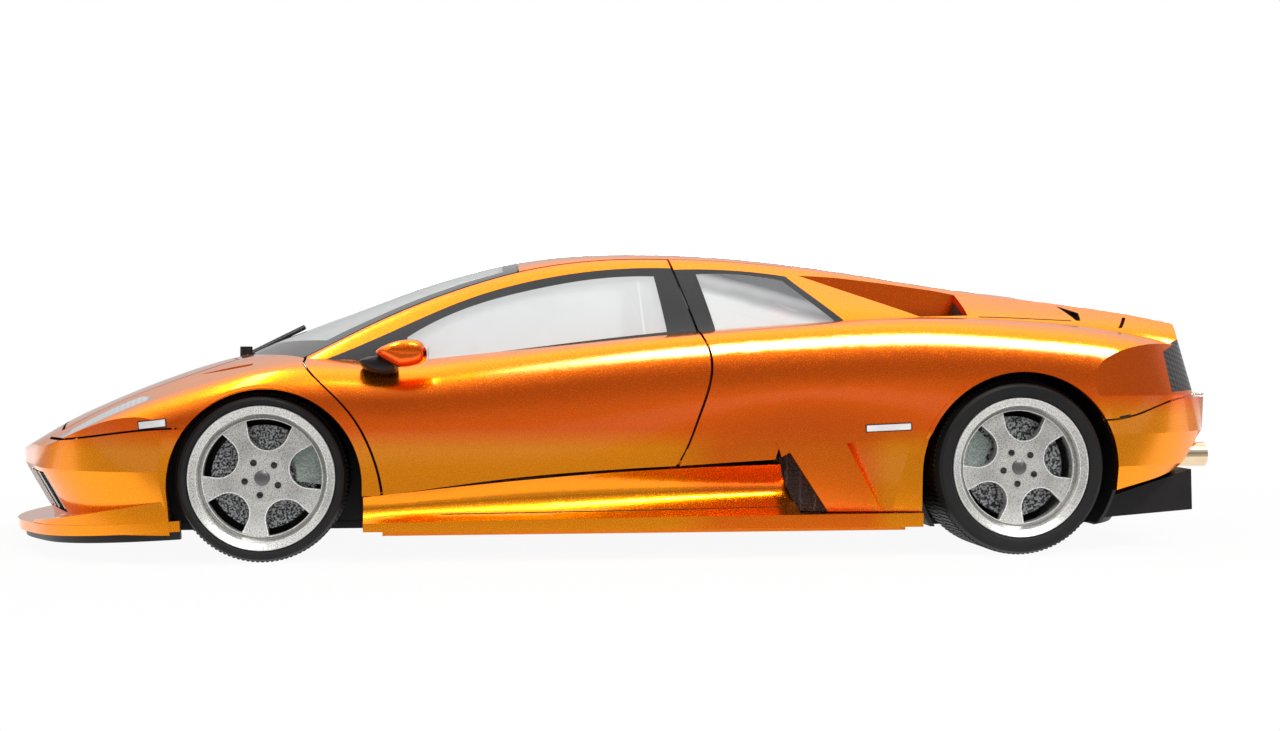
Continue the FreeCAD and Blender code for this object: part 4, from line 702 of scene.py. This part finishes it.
class PaintSettings(bpy.types.PropertyGroup):
    deep: FloatVectorProperty(name="Deep colour", description="Paint colour on the flanks", subtype="COLOR",
                              size=4, min=0, max=1, default=rgb(250, 100, 0))
    # Painted light: the bright colour stands for the paint lit from above
    bright: FloatVectorProperty(name="Bright colour", description="Paint colour where it faces up",
                                subtype="COLOR", size=4, min=0, max=1, default=rgb(255, 150, 0))
    # Painted highlight: the pearl colour is a pale highlight painted along the shoulders
    pale: FloatVectorProperty(name="Pearl colour", description="Paint colour on the shoulders",
                              subtype="COLOR", size=4, min=0, max=1, default=rgb(255, 205, 140))
    flake: FloatProperty(name="Flake size", description="Width of one flake", default=0.12 * MM,
                         min=0.02 * MM, precision=5, subtype="DISTANCE")
    depth: FloatProperty(name="Flake depth", description="Strength of the flakes' tilt", default=0.25, min=0)

class WheelSettings(bpy.types.PropertyGroup):
    spokes: IntProperty(name="Spokes", description="Number of spokes in each wheel", default=5, min=3)
    turn: FloatProperty(name="Turn", description="How far each wheel has rolled", default=math.radians(7.0),
                        subtype="ANGLE")
    lugs: FloatProperty(name="Lug circle", description="Radius of the circle of lugs", default=3.3 * MM,
                        precision=5, subtype="DISTANCE")
    treads: IntProperty(name="Tread blocks", description="Tread blocks round each tyre", default=110, min=12)
    groove: FloatProperty(name="Tread depth", description="Depth of the tread's grooves", default=0.16 * MM,
                          precision=5, subtype="DISTANCE")

class StageSettings(bpy.types.PropertyGroup):
    lens: FloatProperty(name="Lens", description="Focal length in mm", default=45.36, unit="CAMERA")
    lamp: FloatProperty(name="Lamp strength", description="Power of the overhead lamp", default=1.0,
                        unit="POWER")
    sky: FloatProperty(name="Sky strength", description="Strength of the plain light all round", default=0.38)
    ceiling: FloatProperty(name="Ceiling", description="Brightness of the ceiling in reflections",
                           default=1.5)
    strip: FloatProperty(name="Strip", description="Brightness of the long strip light in reflections",
                         default=24.0)

class BuildOperator:
    """Shared part of the operators that build the pieces."""
    bl_options = {"REGISTER", "UNDO"}

CAMERA_PLACE = (-0.03265, -0.3643, 0.0389)
CAMERA_YAW, CAMERA_PITCH = 0.111, -0.004
# Each lamp's name, place and size in metres, and its share of the lamp strength
LAMPS = (("top_lamp", (-0.27, 0.03, 0.6), (0.5, 0.06), 1.0),
         ("shoulder_lamp", (0.32, -0.42, 0.62), (0.7, 0.07), 4.2),
         ("front_lamp", (-0.7, -0.35, 0.45), (0.4, 0.4), 0.35))
LAMP_AIM = Vector((0, 0, 0.02))
# Brightness of the world in reflections, against height: dark low down, white overhead
SKY_STOPS = [(0.0, 0.22), (0.22, 0.22), (0.44, 0.42), (0.6, 0.6), (0.8, 0.85), (1.0, 1.0)]

def aim(item, place, direction):
    """Put a camera or a lamp at a place and point it in a direction."""
    item.location = place
    item.rotation_euler = direction.to_track_quat("-Z", "Y").to_euler()

class CARMODEL_OT_stage(BuildOperator, bpy.types.Operator):
    """Lay the pale floor, the soft light and the camera"""
    bl_idname = "carmodel.stage"
    bl_label = "Stage, light and camera"

    def execute(self, context):
        settings = context.scene.carmodel_stage
        context.scene.view_settings.view_transform = "Standard"
        camera = add_object("camera", bpy.data.cameras.new("camera"))
        camera.data.lens = settings.lens
        camera.data.sensor_width = 36.0
        camera.data.clip_start = 0.01
        level = math.cos(CAMERA_PITCH)
        aim(camera, CAMERA_PLACE, Vector((math.sin(CAMERA_YAW) * level, math.cos(CAMERA_YAW) * level,
                                          math.sin(CAMERA_PITCH))))
        context.scene.camera = camera
        self.floor()
        self.world(context, settings)
        for name, place, size, share in LAMPS:
            data = bpy.data.lights.new(name, "AREA")
            data.shape = "RECTANGLE"
            data.size, data.size_y = size
            data.energy = settings.lamp * share
            lamp = add_object(name, data)
            lamp.visible_camera = False
            aim(lamp, place, LAMP_AIM - Vector(place))
        return {"FINISHED"}

    def floor(self):
        """A white floor that keeps the car's soft shadow. In reflections it is bright, with a dim band on
        each side of the car, and dim again far away."""
        mesh = bpy.data.meshes.new("floor")
        mesh.from_pydata([(-4, -4, 0), (4, -4, 0), (4, 4, 0), (-4, 4, 0)], [], [(0, 1, 2, 3)])
        floor = add_object("floor", mesh)
        g = Graph("floor_finish")
        _, (x, y, _) = g.place()
        seen, mirrored = g.rays()
        aside = abs(y)
        away = ((x * x * 0.3 + y * y) * (1.0 / 30000.0)).clamp()
        dim = aside.ramp(80.0, 100.0) * aside.ramp(240.0, 206.6667) + aside.ramp(320.0, 420.0)
        brightest = 1.2
        level = (seen + mirrored * (brightest - dim * 0.75)) * (1.0 / brightest)
        glow = g.add("ShaderNodeEmission", {}, {"Color": g.blend((0, 0, 0, 1), (1, 1, 1, 1), level),
                                                "Strength": brightest})
        board = g.add("ShaderNodeBsdfDiffuse", {}, {"Color": (0.86, 0.86, 0.86, 1)})
        share = (seen * (0.93 + away * 0.07) + mirrored).clamp()
        g.output(g.add("ShaderNodeMixShader", {}, [share, board, glow]))
        mesh.materials.append(g.owner)

    def world(self, context, settings):
        """White all round for the camera. In reflections it is dim low down, brighter on the far side and
        overhead, with a long strip high on the camera's side."""
        world = bpy.data.worlds.new("studio")
        context.scene.world = world
        g = Graph("studio", world)
        seen, mirrored = g.rays()
        along, back, up = g.split(g.add("ShaderNodeTexCoord", output="Generated"))
        sky = g.add("ShaderNodeValToRGB", {"stops": SKY_STOPS}, [up]) * settings.ceiling
        far_side = back.ramp(0.0, 0.333333) * 0.25
        steep = up / (back * -1.0).math("MAXIMUM", 0.05)
        strip = (steep.ramp(1.2, 1.366667) * steep.ramp(1.95, 1.783333)
                 * along.ramp(-0.1, 0.20303) * along.ramp(0.62, 0.42))
        grey = sky + far_side + strip * settings.strip
        level = seen + mirrored * grey + (1.0 - (seen + mirrored).clamp()) * settings.sky
        g.output(g.add("ShaderNodeBackground", {}, {"Color": (1, 1, 1, 1), "Strength": level}),
                 "ShaderNodeOutputWorld")

class CARMODEL_OT_bodywork(BuildOperator, bpy.types.Operator):
    """Give every CAD piece its finish"""
    bl_idname = "carmodel.bodywork"
    bl_label = "Paint, glass and trim"

    def execute(self, context):
        for entry in frame["record"]["subparts"]:
            mesh = frame["nodes"][entry["node"]].data
            mesh.materials.clear()
            mesh.materials.append(finish(NODE_FINISHES.get(entry["node"], entry["material_slot"])))
        return {"FINISHED"}

# Each axle's name, its station, and its wheels' distance from the car's middle, radius and half width in mm
AXLES = (("front", 0.0, 45.4, FRONT_RADIUS, 6.8), ("rear", REAR_AXLE, 46.8, REAR_RADIUS, 9.1))
BEAD = 13.85
# The bright rings on a rim's lip: inner and outer radius, and depth behind the wheel's face
LIP_RINGS = ((12.28, 12.42, 0.92), (13.55, 13.75, 0.32), (11.25, 11.38, 2.05))

def rim_window():
    """One window between two spokes, as points (across, outwards) in mm: from the rim down one side, round
    its foot near the hub, and up the other side."""
    outer, middle, foot, half = 11.2, 9.1, 3.9, 4.45
    top = math.sqrt(outer ** 2 - half ** 2)
    slope = math.atan2(top - middle, half) - math.acos(foot / math.hypot(half, top - middle))
    arc = [slope - (math.pi + 2 * slope) * i / 16 for i in range(17)]
    return [(half, top), *((foot * math.cos(a), middle + foot * math.sin(a)) for a in arc), (-half, top)]

def spoke_depth(radius):
    """How far the spokes' front lies behind the wheel's face, in mm: the rim is dished."""
    hub, rim = 4.6, 11.4
    return 1.7 + max(0.0, min(radius, rim) - hub) / (rim - hub) * 0.8

class CARMODEL_OT_wheels(BuildOperator, bpy.types.Operator):
    """Tyres with tread blocks, lug rings, edge lines and caps"""
    bl_idname = "carmodel.wheels"
    bl_label = "Wheels"

    def execute(self, context):
        settings = context.scene.carmodel_wheels
        blocks = round_axle("tread_blocks", "block")
        rings = round_axle("lug_rings", "cylinder")
        for axle, station, reach, radius, half in AXLES:
            for side, label in SIDES:
                wheel = "%s_%s_wheel" % (label, axle)
                centre = (station + SHIFT, side * (reach + half), radius)
                self.tyre(wheel, centre, side, side * reach, 2 * half, blocks, settings)
                self.lugs(wheel, centre, side, rings, settings)
                self.rim(wheel, centre, side, 2 * half)
                self.window_edges(wheel, centre, side, settings)
        return {"FINISHED"}

    def tyre(self, wheel, centre, side, middle, wide, blocks, settings):
        """A tyre with stepped side walls, and two rows of tread blocks on it."""
        x, _, radius = centre
        groove = settings.groove / MM
        tread = radius - groove
        profile = [(BEAD, 0.7), (BEAD + 0.35, 0.25), (BEAD + 0.9, 0.1), (radius - 1.3, 0.1),
                   (radius - 0.7, 0.5), (tread - 0.25, 1.3), (tread, 2.2), (tread, wide - 2.2),
                   (tread - 0.25, wide - 1.3), (radius - 1.5, wide - 0.25), (BEAD + 1.3, wide),
                   (BEAD, wide - 0.7)]
        add_piece(wheel + "_tyre_rings", turned(profile, centre, side, 96), wheel, "tyre", 30,
                  [wheel + "_tyre"])
        pitch = 2 * math.pi * radius / settings.treads
        block = (2 * groove * MM, pitch * 0.55 * MM, (wide - 4.4) / 2 * MM)
        for row, offset, share in (("inner", 0.5, 0.0), ("outer", -0.5, 0.5)):
            y = middle + offset * (wide - 4.0) / 2
            blocks.make(wheel + "_tread_" + row, wheel, "tyre", Count=settings.treads,
                        Radius=(tread - 0.02) * MM, Block=block, Turn=share * 2 * math.pi / settings.treads,
                        Centre=(x * MM, y * MM, radius * MM))

    def lugs(self, wheel, centre, side, rings, settings):
        """One round lug head between each two spokes."""
        x, face, radius = centre
        rings.make(wheel + "_lug_heads", wheel, "dark_lens", Count=settings.spokes, Radius=settings.lugs,
                   Block=(0.62 * MM, 0, 0.5 * MM),
                   Turn=math.pi / 2 + math.pi / settings.spokes + side * settings.turn,
                   Centre=(x * MM, (face - side * 1.72) * MM, radius * MM))

    def rim(self, wheel, centre, side, wide):
        """Turned details of a rim: its cap, the bright rings on its lip, and the shade behind its spokes."""
        cap = [(0.0, 1.05), (0.9, 1.05), (1.35, 1.25), (1.5, 1.75), (0.0, 1.75)]
        add_piece(wheel + "_cap", turned(cap, centre, side, 32), wheel, "steel")
        for i, (inner, outer, depth) in enumerate(LIP_RINGS):
            ring = [(inner, depth + 0.4), (inner, depth), (outer, depth), (outer, depth + 0.4)]
            add_piece(wheel + "_lip_ring_%d" % i, turned(ring, centre, side, 96), wheel, "bright_edge")
        shade = [(10.3, wide - 1.4), (12.9, wide - 1.4), (12.9, wide - 1.0), (10.3, wide - 1.0)]
        add_piece(wheel + "_rim_shade", turned(shade, centre, side, 64), wheel, "black_trim")

    def window_edges(self, wheel, centre, side, settings):
        """A thin bright line round each window between the spokes."""
        x0, y0, z0 = centre
        half_width, proud, sunk = 0.1, -0.04, 0.3
        loop = rim_window()
        lines = []
        for window in range(settings.spokes):
            turn = 2 * math.pi * window / settings.spokes + settings.turn
            rings = []
            for i, (u, v) in enumerate(loop):
                u0, v0 = loop[max(i - 1, 0)]
                u1, v1 = loop[min(i + 1, len(loop) - 1)]
                length = math.hypot(u1 - u0, v1 - v0)
                across, outwards = (v0 - v1) / length * half_width, (u1 - u0) / length * half_width
                ring = []
                for way, lift in ((1, sunk), (1, proud), (-1, proud), (-1, sunk)):
                    a, b = u + way * across, v + way * outwards
                    x = a * math.cos(turn) + b * math.sin(turn)
                    z = b * math.cos(turn) - a * math.sin(turn)
                    depth = spoke_depth(math.hypot(a, b)) + lift
                    ring.append(((x0 - side * x) * MM, (y0 - side * depth) * MM, (z0 + z) * MM))
                rings.append(ring)
            lines.append(skin(rings))
        add_piece(wheel + "_window_edges", joined(lines), wheel, "bright_edge")

# Stations of the engine's covers, and where its two banks lie beside the middle
COVER_FRONT, COVER_REAR = 110.5, 147.0
BANK_INNER, BANK_MIDDLE, BANK_OUTER = 10.6, 12.4, 14.2

class CARMODEL_OT_engine(BuildOperator, bpy.types.Operator):
    """Intake pipes, an air box and ribbed covers on the engine block"""
    bl_idname = "carmodel.engine"
    bl_label = "Engine"

    def execute(self, context):
        block = Surface("engine_block")
        paths = [self.pipe_path(block, 113.0 + 6.2 * k, side) for k in range(6) for side, _ in SIDES]
        pipes_on_paths("intake_pipes").make("intake_pipes", block.body, "bright_edge",
                                            path_mesh("pipe_paths", paths), Radius=0.9 * MM, Sides=12)
        self.cover("air_box", block, -3.2, 3.2, 3.2, "engine_casting")
        ribs = on_points("cover_ribs")
        for side, label in SIDES:
            low, high = sorted((side * BANK_INNER, side * BANK_OUTER))
            self.cover(label + "_valve_cover", block, low, high, 1.3, "caliper_paint")
            places = [self.on_block(block, 112.0 + 1.8 * k, side * BANK_MIDDLE, 1.45) for k in range(19)]
            ribs.make(label + "_cover_ribs", block.body, "bright_edge", point_mesh("rib_points", places),
                      Block=(0.5 * MM, 2.8 * MM, 0.5 * MM))
        return {"FINISHED"}

    def on_block(self, block, station, y, above):
        """A place above the block's top."""
        return at(station, y, block.below(station, y) + above)

    def pipe_path(self, block, station, side):
        """The arched way of one intake pipe, from the air box out to a bank."""
        path = []
        for i in range(13):
            t = i / 12
            arch = 3.0 * math.sin(math.pi * t) ** 0.7
            path.append(self.on_block(block, station, side * (2.6 + 9.4 * t), 0.3 + arch))
        return path

    def cover(self, name, block, low, high, tall, look):
        """A cover that follows the block's top, with sloping sides and a foot sunk into it."""
        slope, sink = 0.4, 0.3
        rings = []
        for i in range(13):
            station = COVER_FRONT + (COVER_REAR - COVER_FRONT) * i / 12
            foot = block.below(station, (low + high) / 2) - sink
            top = foot + tall + sink
            rings.append([at(station, y, z) for y, z in ((low, foot), (low + slope, top), (high - slope, top),
                                                         (high, foot))])
        return add_piece(name, skin(rings), block.body, look)

# A mirror's outlines, as points (station, z), and its layers: side distance, scale and lift
MIRROR_OUTLINE = [(20.8, 40.0), (23.4, 41.5), (26.4, 42.6), (30.0, 42.7), (31.5, 41.3), (31.6, 38.2),
                  (29.0, 37.6), (26.2, 37.0), (24.4, 38.3)]
MIRROR_LAYERS = [(54.8, 0.93, 0.0), (55.6, 1.0, 0.0), (59.5, 1.0, 0.0), (62.4, 0.9, 0.25), (64.0, 0.58, 0.6)]
FOOT_OUTLINE = [(17.2, 38.9), (21.5, 39.9), (24.6, 39.3), (26.6, 37.2), (25.6, 35.7), (21.8, 35.7),
                (18.8, 36.9)]
FOOT_LAYERS = [(47.4, 0.8, 0.0), (50.5, 0.94, 0.0), (54.5, 0.92, 0.0), (57.8, 0.72, 0.5)]
MIRROR_PANE = [(56.2, 38.7), (61.4, 38.9), (62.2, 41.0), (56.2, 41.6)]
PANE_STATION, PANE_THICKNESS = 31.62, 0.12

class CARMODEL_OT_mirrors(BuildOperator, bpy.types.Operator):
    """Rounded mirror housings on black feet, with their glass"""
    bl_idname = "carmodel.mirrors"
    bl_label = "Mirrors"

    def execute(self, context):
        for side, label in SIDES:
            body = body_of(label + "_mirror")
            housing = self.shell(label + "_mirror_housing", MIRROR_OUTLINE, MIRROR_LAYERS, side, body,
                                 "body_paint")
            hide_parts(label + "_mirror")
            self.shell(label + "_mirror_foot", FOOT_OUTLINE, FOOT_LAYERS, side, body, "black_trim")
            pane = [[at(PANE_STATION + depth, side * y, z) for y, z in MIRROR_PANE]
                    for depth in (0.0, PANE_THICKNESS)]
            add_piece(label + "_mirror_glass", skin(pane), body, "mirror_glass")
        return {"FINISHED"}

    def shell(self, name, outline, layers, side, body, look):
        """A rounded form: the outline on each layer (side, scale, lift), smoothed by subdivision."""
        middle = Vector((sum(x for x, _ in outline), sum(z for _, z in outline))) / len(outline)
        rings = [[at(middle.x + (x - middle.x) * scale, side * y, middle.y + lift + (z - middle.y) * scale)
                  for x, z in outline] for y, scale, lift in layers]
        piece = add_piece(name, skin(rings), body, look, 60)
        smoothing = piece.modifiers.new("rounded", "SUBSURF")
        smoothing.levels = smoothing.render_levels = 2
        return piece

# Lines on a flank, as points (station, z)
DOOR_FRONT = [(22.7, 13.4), (21.9, 17.6), (20.4, 22.0), (17.8, 27.0), (14.2, 31.4), (10.2, 35.2),
              (7.4, 38.2)]
DOOR_REAR = [(84.9, 43.2), (86.2, 37.5), (83.6, 27.5), (81.0, 20.8), (80.2, 19.2)]
NOSE_SEAM = [(-14.9, 25.8), (-26, 25.0), (-37, 23.6), (-43.0, 23.2)]
TAIL_SEAM = [(165.2, 26.8), (174, 28.4), (182.0, 30.8)]
# Where a black line of painted shade runs along each sill, above its lip
SILL_SHADE_LINE = [(34, 9.2), (104, 9.9)]
DECK_SEAM = [(143.4, 47.55), (150.5, 47.4), (164.4, 46.9)]
# The nose in plan, as points (station, side distance), and the grille bars that follow it
NOSE_PLAN = [(-52.3, 0.0), (-51.5, 8.0), (-48.8, 17.0), (-45.4, 26.0), (-42.9, 31.0), (-40.6, 34.5)]
BARS_EACH_SIDE, BAR_PITCH, BAR_HEIGHT = 8, 3.977647, 12.7
LOUVRES = [(118.6, 57.2), (127.6, 56.0), (136.6, 54.5), (145.6, 53.0), (154.6, 51.4)]

class CARMODEL_OT_trim(BuildOperator, bpy.types.Operator):
    """Grille bars, louvres, blank badges and fine lines on the body"""
    bl_idname = "carmodel.trim"
    bl_label = "Grilles, badges and lines"

    def execute(self, context):
        bars = on_points("bars_on_points")
        places = [at(between(NOSE_PLAN, abs(k * BAR_PITCH)) - 0.35, k * BAR_PITCH, BAR_HEIGHT)
                  for k in range(-BARS_EACH_SIDE, BARS_EACH_SIDE + 1)]
        bars.make("nose_grille_bars", body_of("front_grilles"), "bright_edge",
                  point_mesh("nose_points", places), Block=(0.3 * MM, 0.45 * MM, 8.4 * MM),
                  Lean=-math.atan2(5.4, 9.5))
        places = [at(station, 0, z) for station, z in LOUVRES]
        bars.make("engine_lid_louvres", body_of("engine_lid"), "black_trim",
                  point_mesh("lid_points", places), Block=(3.0 * MM, 35.6 * MM, 0.5 * MM),
                  Lean=math.radians(-16))
        strips = self.strips()
        for side, label in SIDES:
            for name, surface, points, width, height, look in strips:
                lay_strip(label + "_" + name, surface, points, width, height, look, side)
        return {"FINISHED"}

    def strips(self):
        """Each strip on a flank: its name, surface, points, width and height in mm, and finish. They are seals
        behind the seams, blank plates in dark frames, lips round the arches, a groove on the deck's seam, and
        a black line of painted shade along each sill."""
        front, rear = Surface("front_body"), Surface("rear_body")
        made = []
        for name, surface, points, width in (
                ("door_front_seal", front, DOOR_FRONT, 0.8), ("door_rear_seal", rear, DOOR_REAR, 0.8),
                ("nose_seal", Surface("front_body", "front_bumper"), NOSE_SEAM, 0.5),
                ("tail_seal", Surface("rear_body", "rear_bumper"), TAIL_SEAM, 0.5)):
            made.append((name, surface, curve_points(points, 8), width, 0.03, "groove_and_shade_black"))
        for name, surface, (x0, z0), (x1, z1), tall in (
                ("front_badge", front, (-22.6, 26.35), (-17.6, 26.9), 1.3),
                ("rear_badge", rear, (116.7, 25.3), (125.4, 25.7), 1.2)):
            edge = line_points([(x0 - 0.25, z0), (x1 + 0.25, z1)], 6)
            plate = line_points([(x0, z0), (x1, z1)], 6)
            made.append((name + "_frame", surface, edge, tall + 0.4, 0.06, "groove_and_shade_black"))
            made.append((name, surface, plate, tall, 0.14, "badge_plate"))
        for name, surface, (x0, z0), radius, first, last in (
                ("front_arch_lip", front, (0.7, 14.9), 18.75, 6, 174),
                ("rear_arch_lip", rear, (REAR_AXLE, 16.5), 20.35, 4, 176)):
            angles = [math.radians(a) for a in range(first, last, 3)]
            arc = [(x0 + radius * math.cos(a), z0 + radius * math.sin(a)) for a in angles]
            made.append((name, surface, arc, 0.7, 0.16, "body_paint"))
        sills = Surface("side_sills")
        # Painted shade: a black strip along each sill stands for the shadow between its channel and its lip
        made.append(("sill_groove", sills, line_points(SILL_SHADE_LINE, 40), 0.22, 0.02, "groove_and_shade_black"))
        made.append(("deck_seam", rear, line_points(DECK_SEAM, 8), 0.28, 0.02, "groove_and_shade_black"))
        return made

class CARMODEL_PT_panel(bpy.types.Panel):
    """The car model's sizes and steps"""
    bl_label = "Car model"
    bl_idname = "CARMODEL_PT_panel"
    bl_space_type = "VIEW_3D"
    bl_region_type = "UI"
    bl_category = "Car model"

    def draw(self, context):
        groups = (
            ("Stage", "carmodel_stage", ("lens", "lamp", "sky", "ceiling", "strip"), ("carmodel.stage",)),
            ("Paint", "carmodel_paint", ("deep", "bright", "pale", "flake", "depth"), ("carmodel.bodywork",)),
            ("Wheels", "carmodel_wheels", ("spokes", "turn", "lugs", "treads", "groove"),
             ("carmodel.wheels",)),
            ("Fittings", "carmodel_paint", (), ("carmodel.engine", "carmodel.mirrors", "carmodel.trim")))
        for title, group, names, operators in groups:
            box = self.layout.box()
            box.label(text=title)
            for name in names:
                box.prop(getattr(context.scene, group), name)
            for operator in operators:
                box.operator(operator)

GROUPS = (("carmodel_paint", PaintSettings), ("carmodel_wheels", WheelSettings),
          ("carmodel_stage", StageSettings))
CLASSES = (PaintSettings, WheelSettings, StageSettings, CARMODEL_OT_stage, CARMODEL_OT_bodywork,
           CARMODEL_OT_wheels, CARMODEL_OT_engine, CARMODEL_OT_mirrors, CARMODEL_OT_trim, CARMODEL_PT_panel)

def register():
    for item in CLASSES:
        bpy.utils.register_class(item)
    for name, group in GROUPS:
        setattr(bpy.types.Scene, name, PointerProperty(type=group))

def unregister():
    for name, _ in GROUPS:
        delattr(bpy.types.Scene, name)
    for item in reversed(CLASSES):
        bpy.utils.unregister_class(item)

def main():
    register()
    bpy.ops.carmodel.stage()
    bpy.ops.carmodel.bodywork()
    bpy.ops.carmodel.wheels()
    bpy.ops.carmodel.engine()
    bpy.ops.carmodel.mirrors()
    bpy.ops.carmodel.trim()

if __name__ == "__main__":
    main()
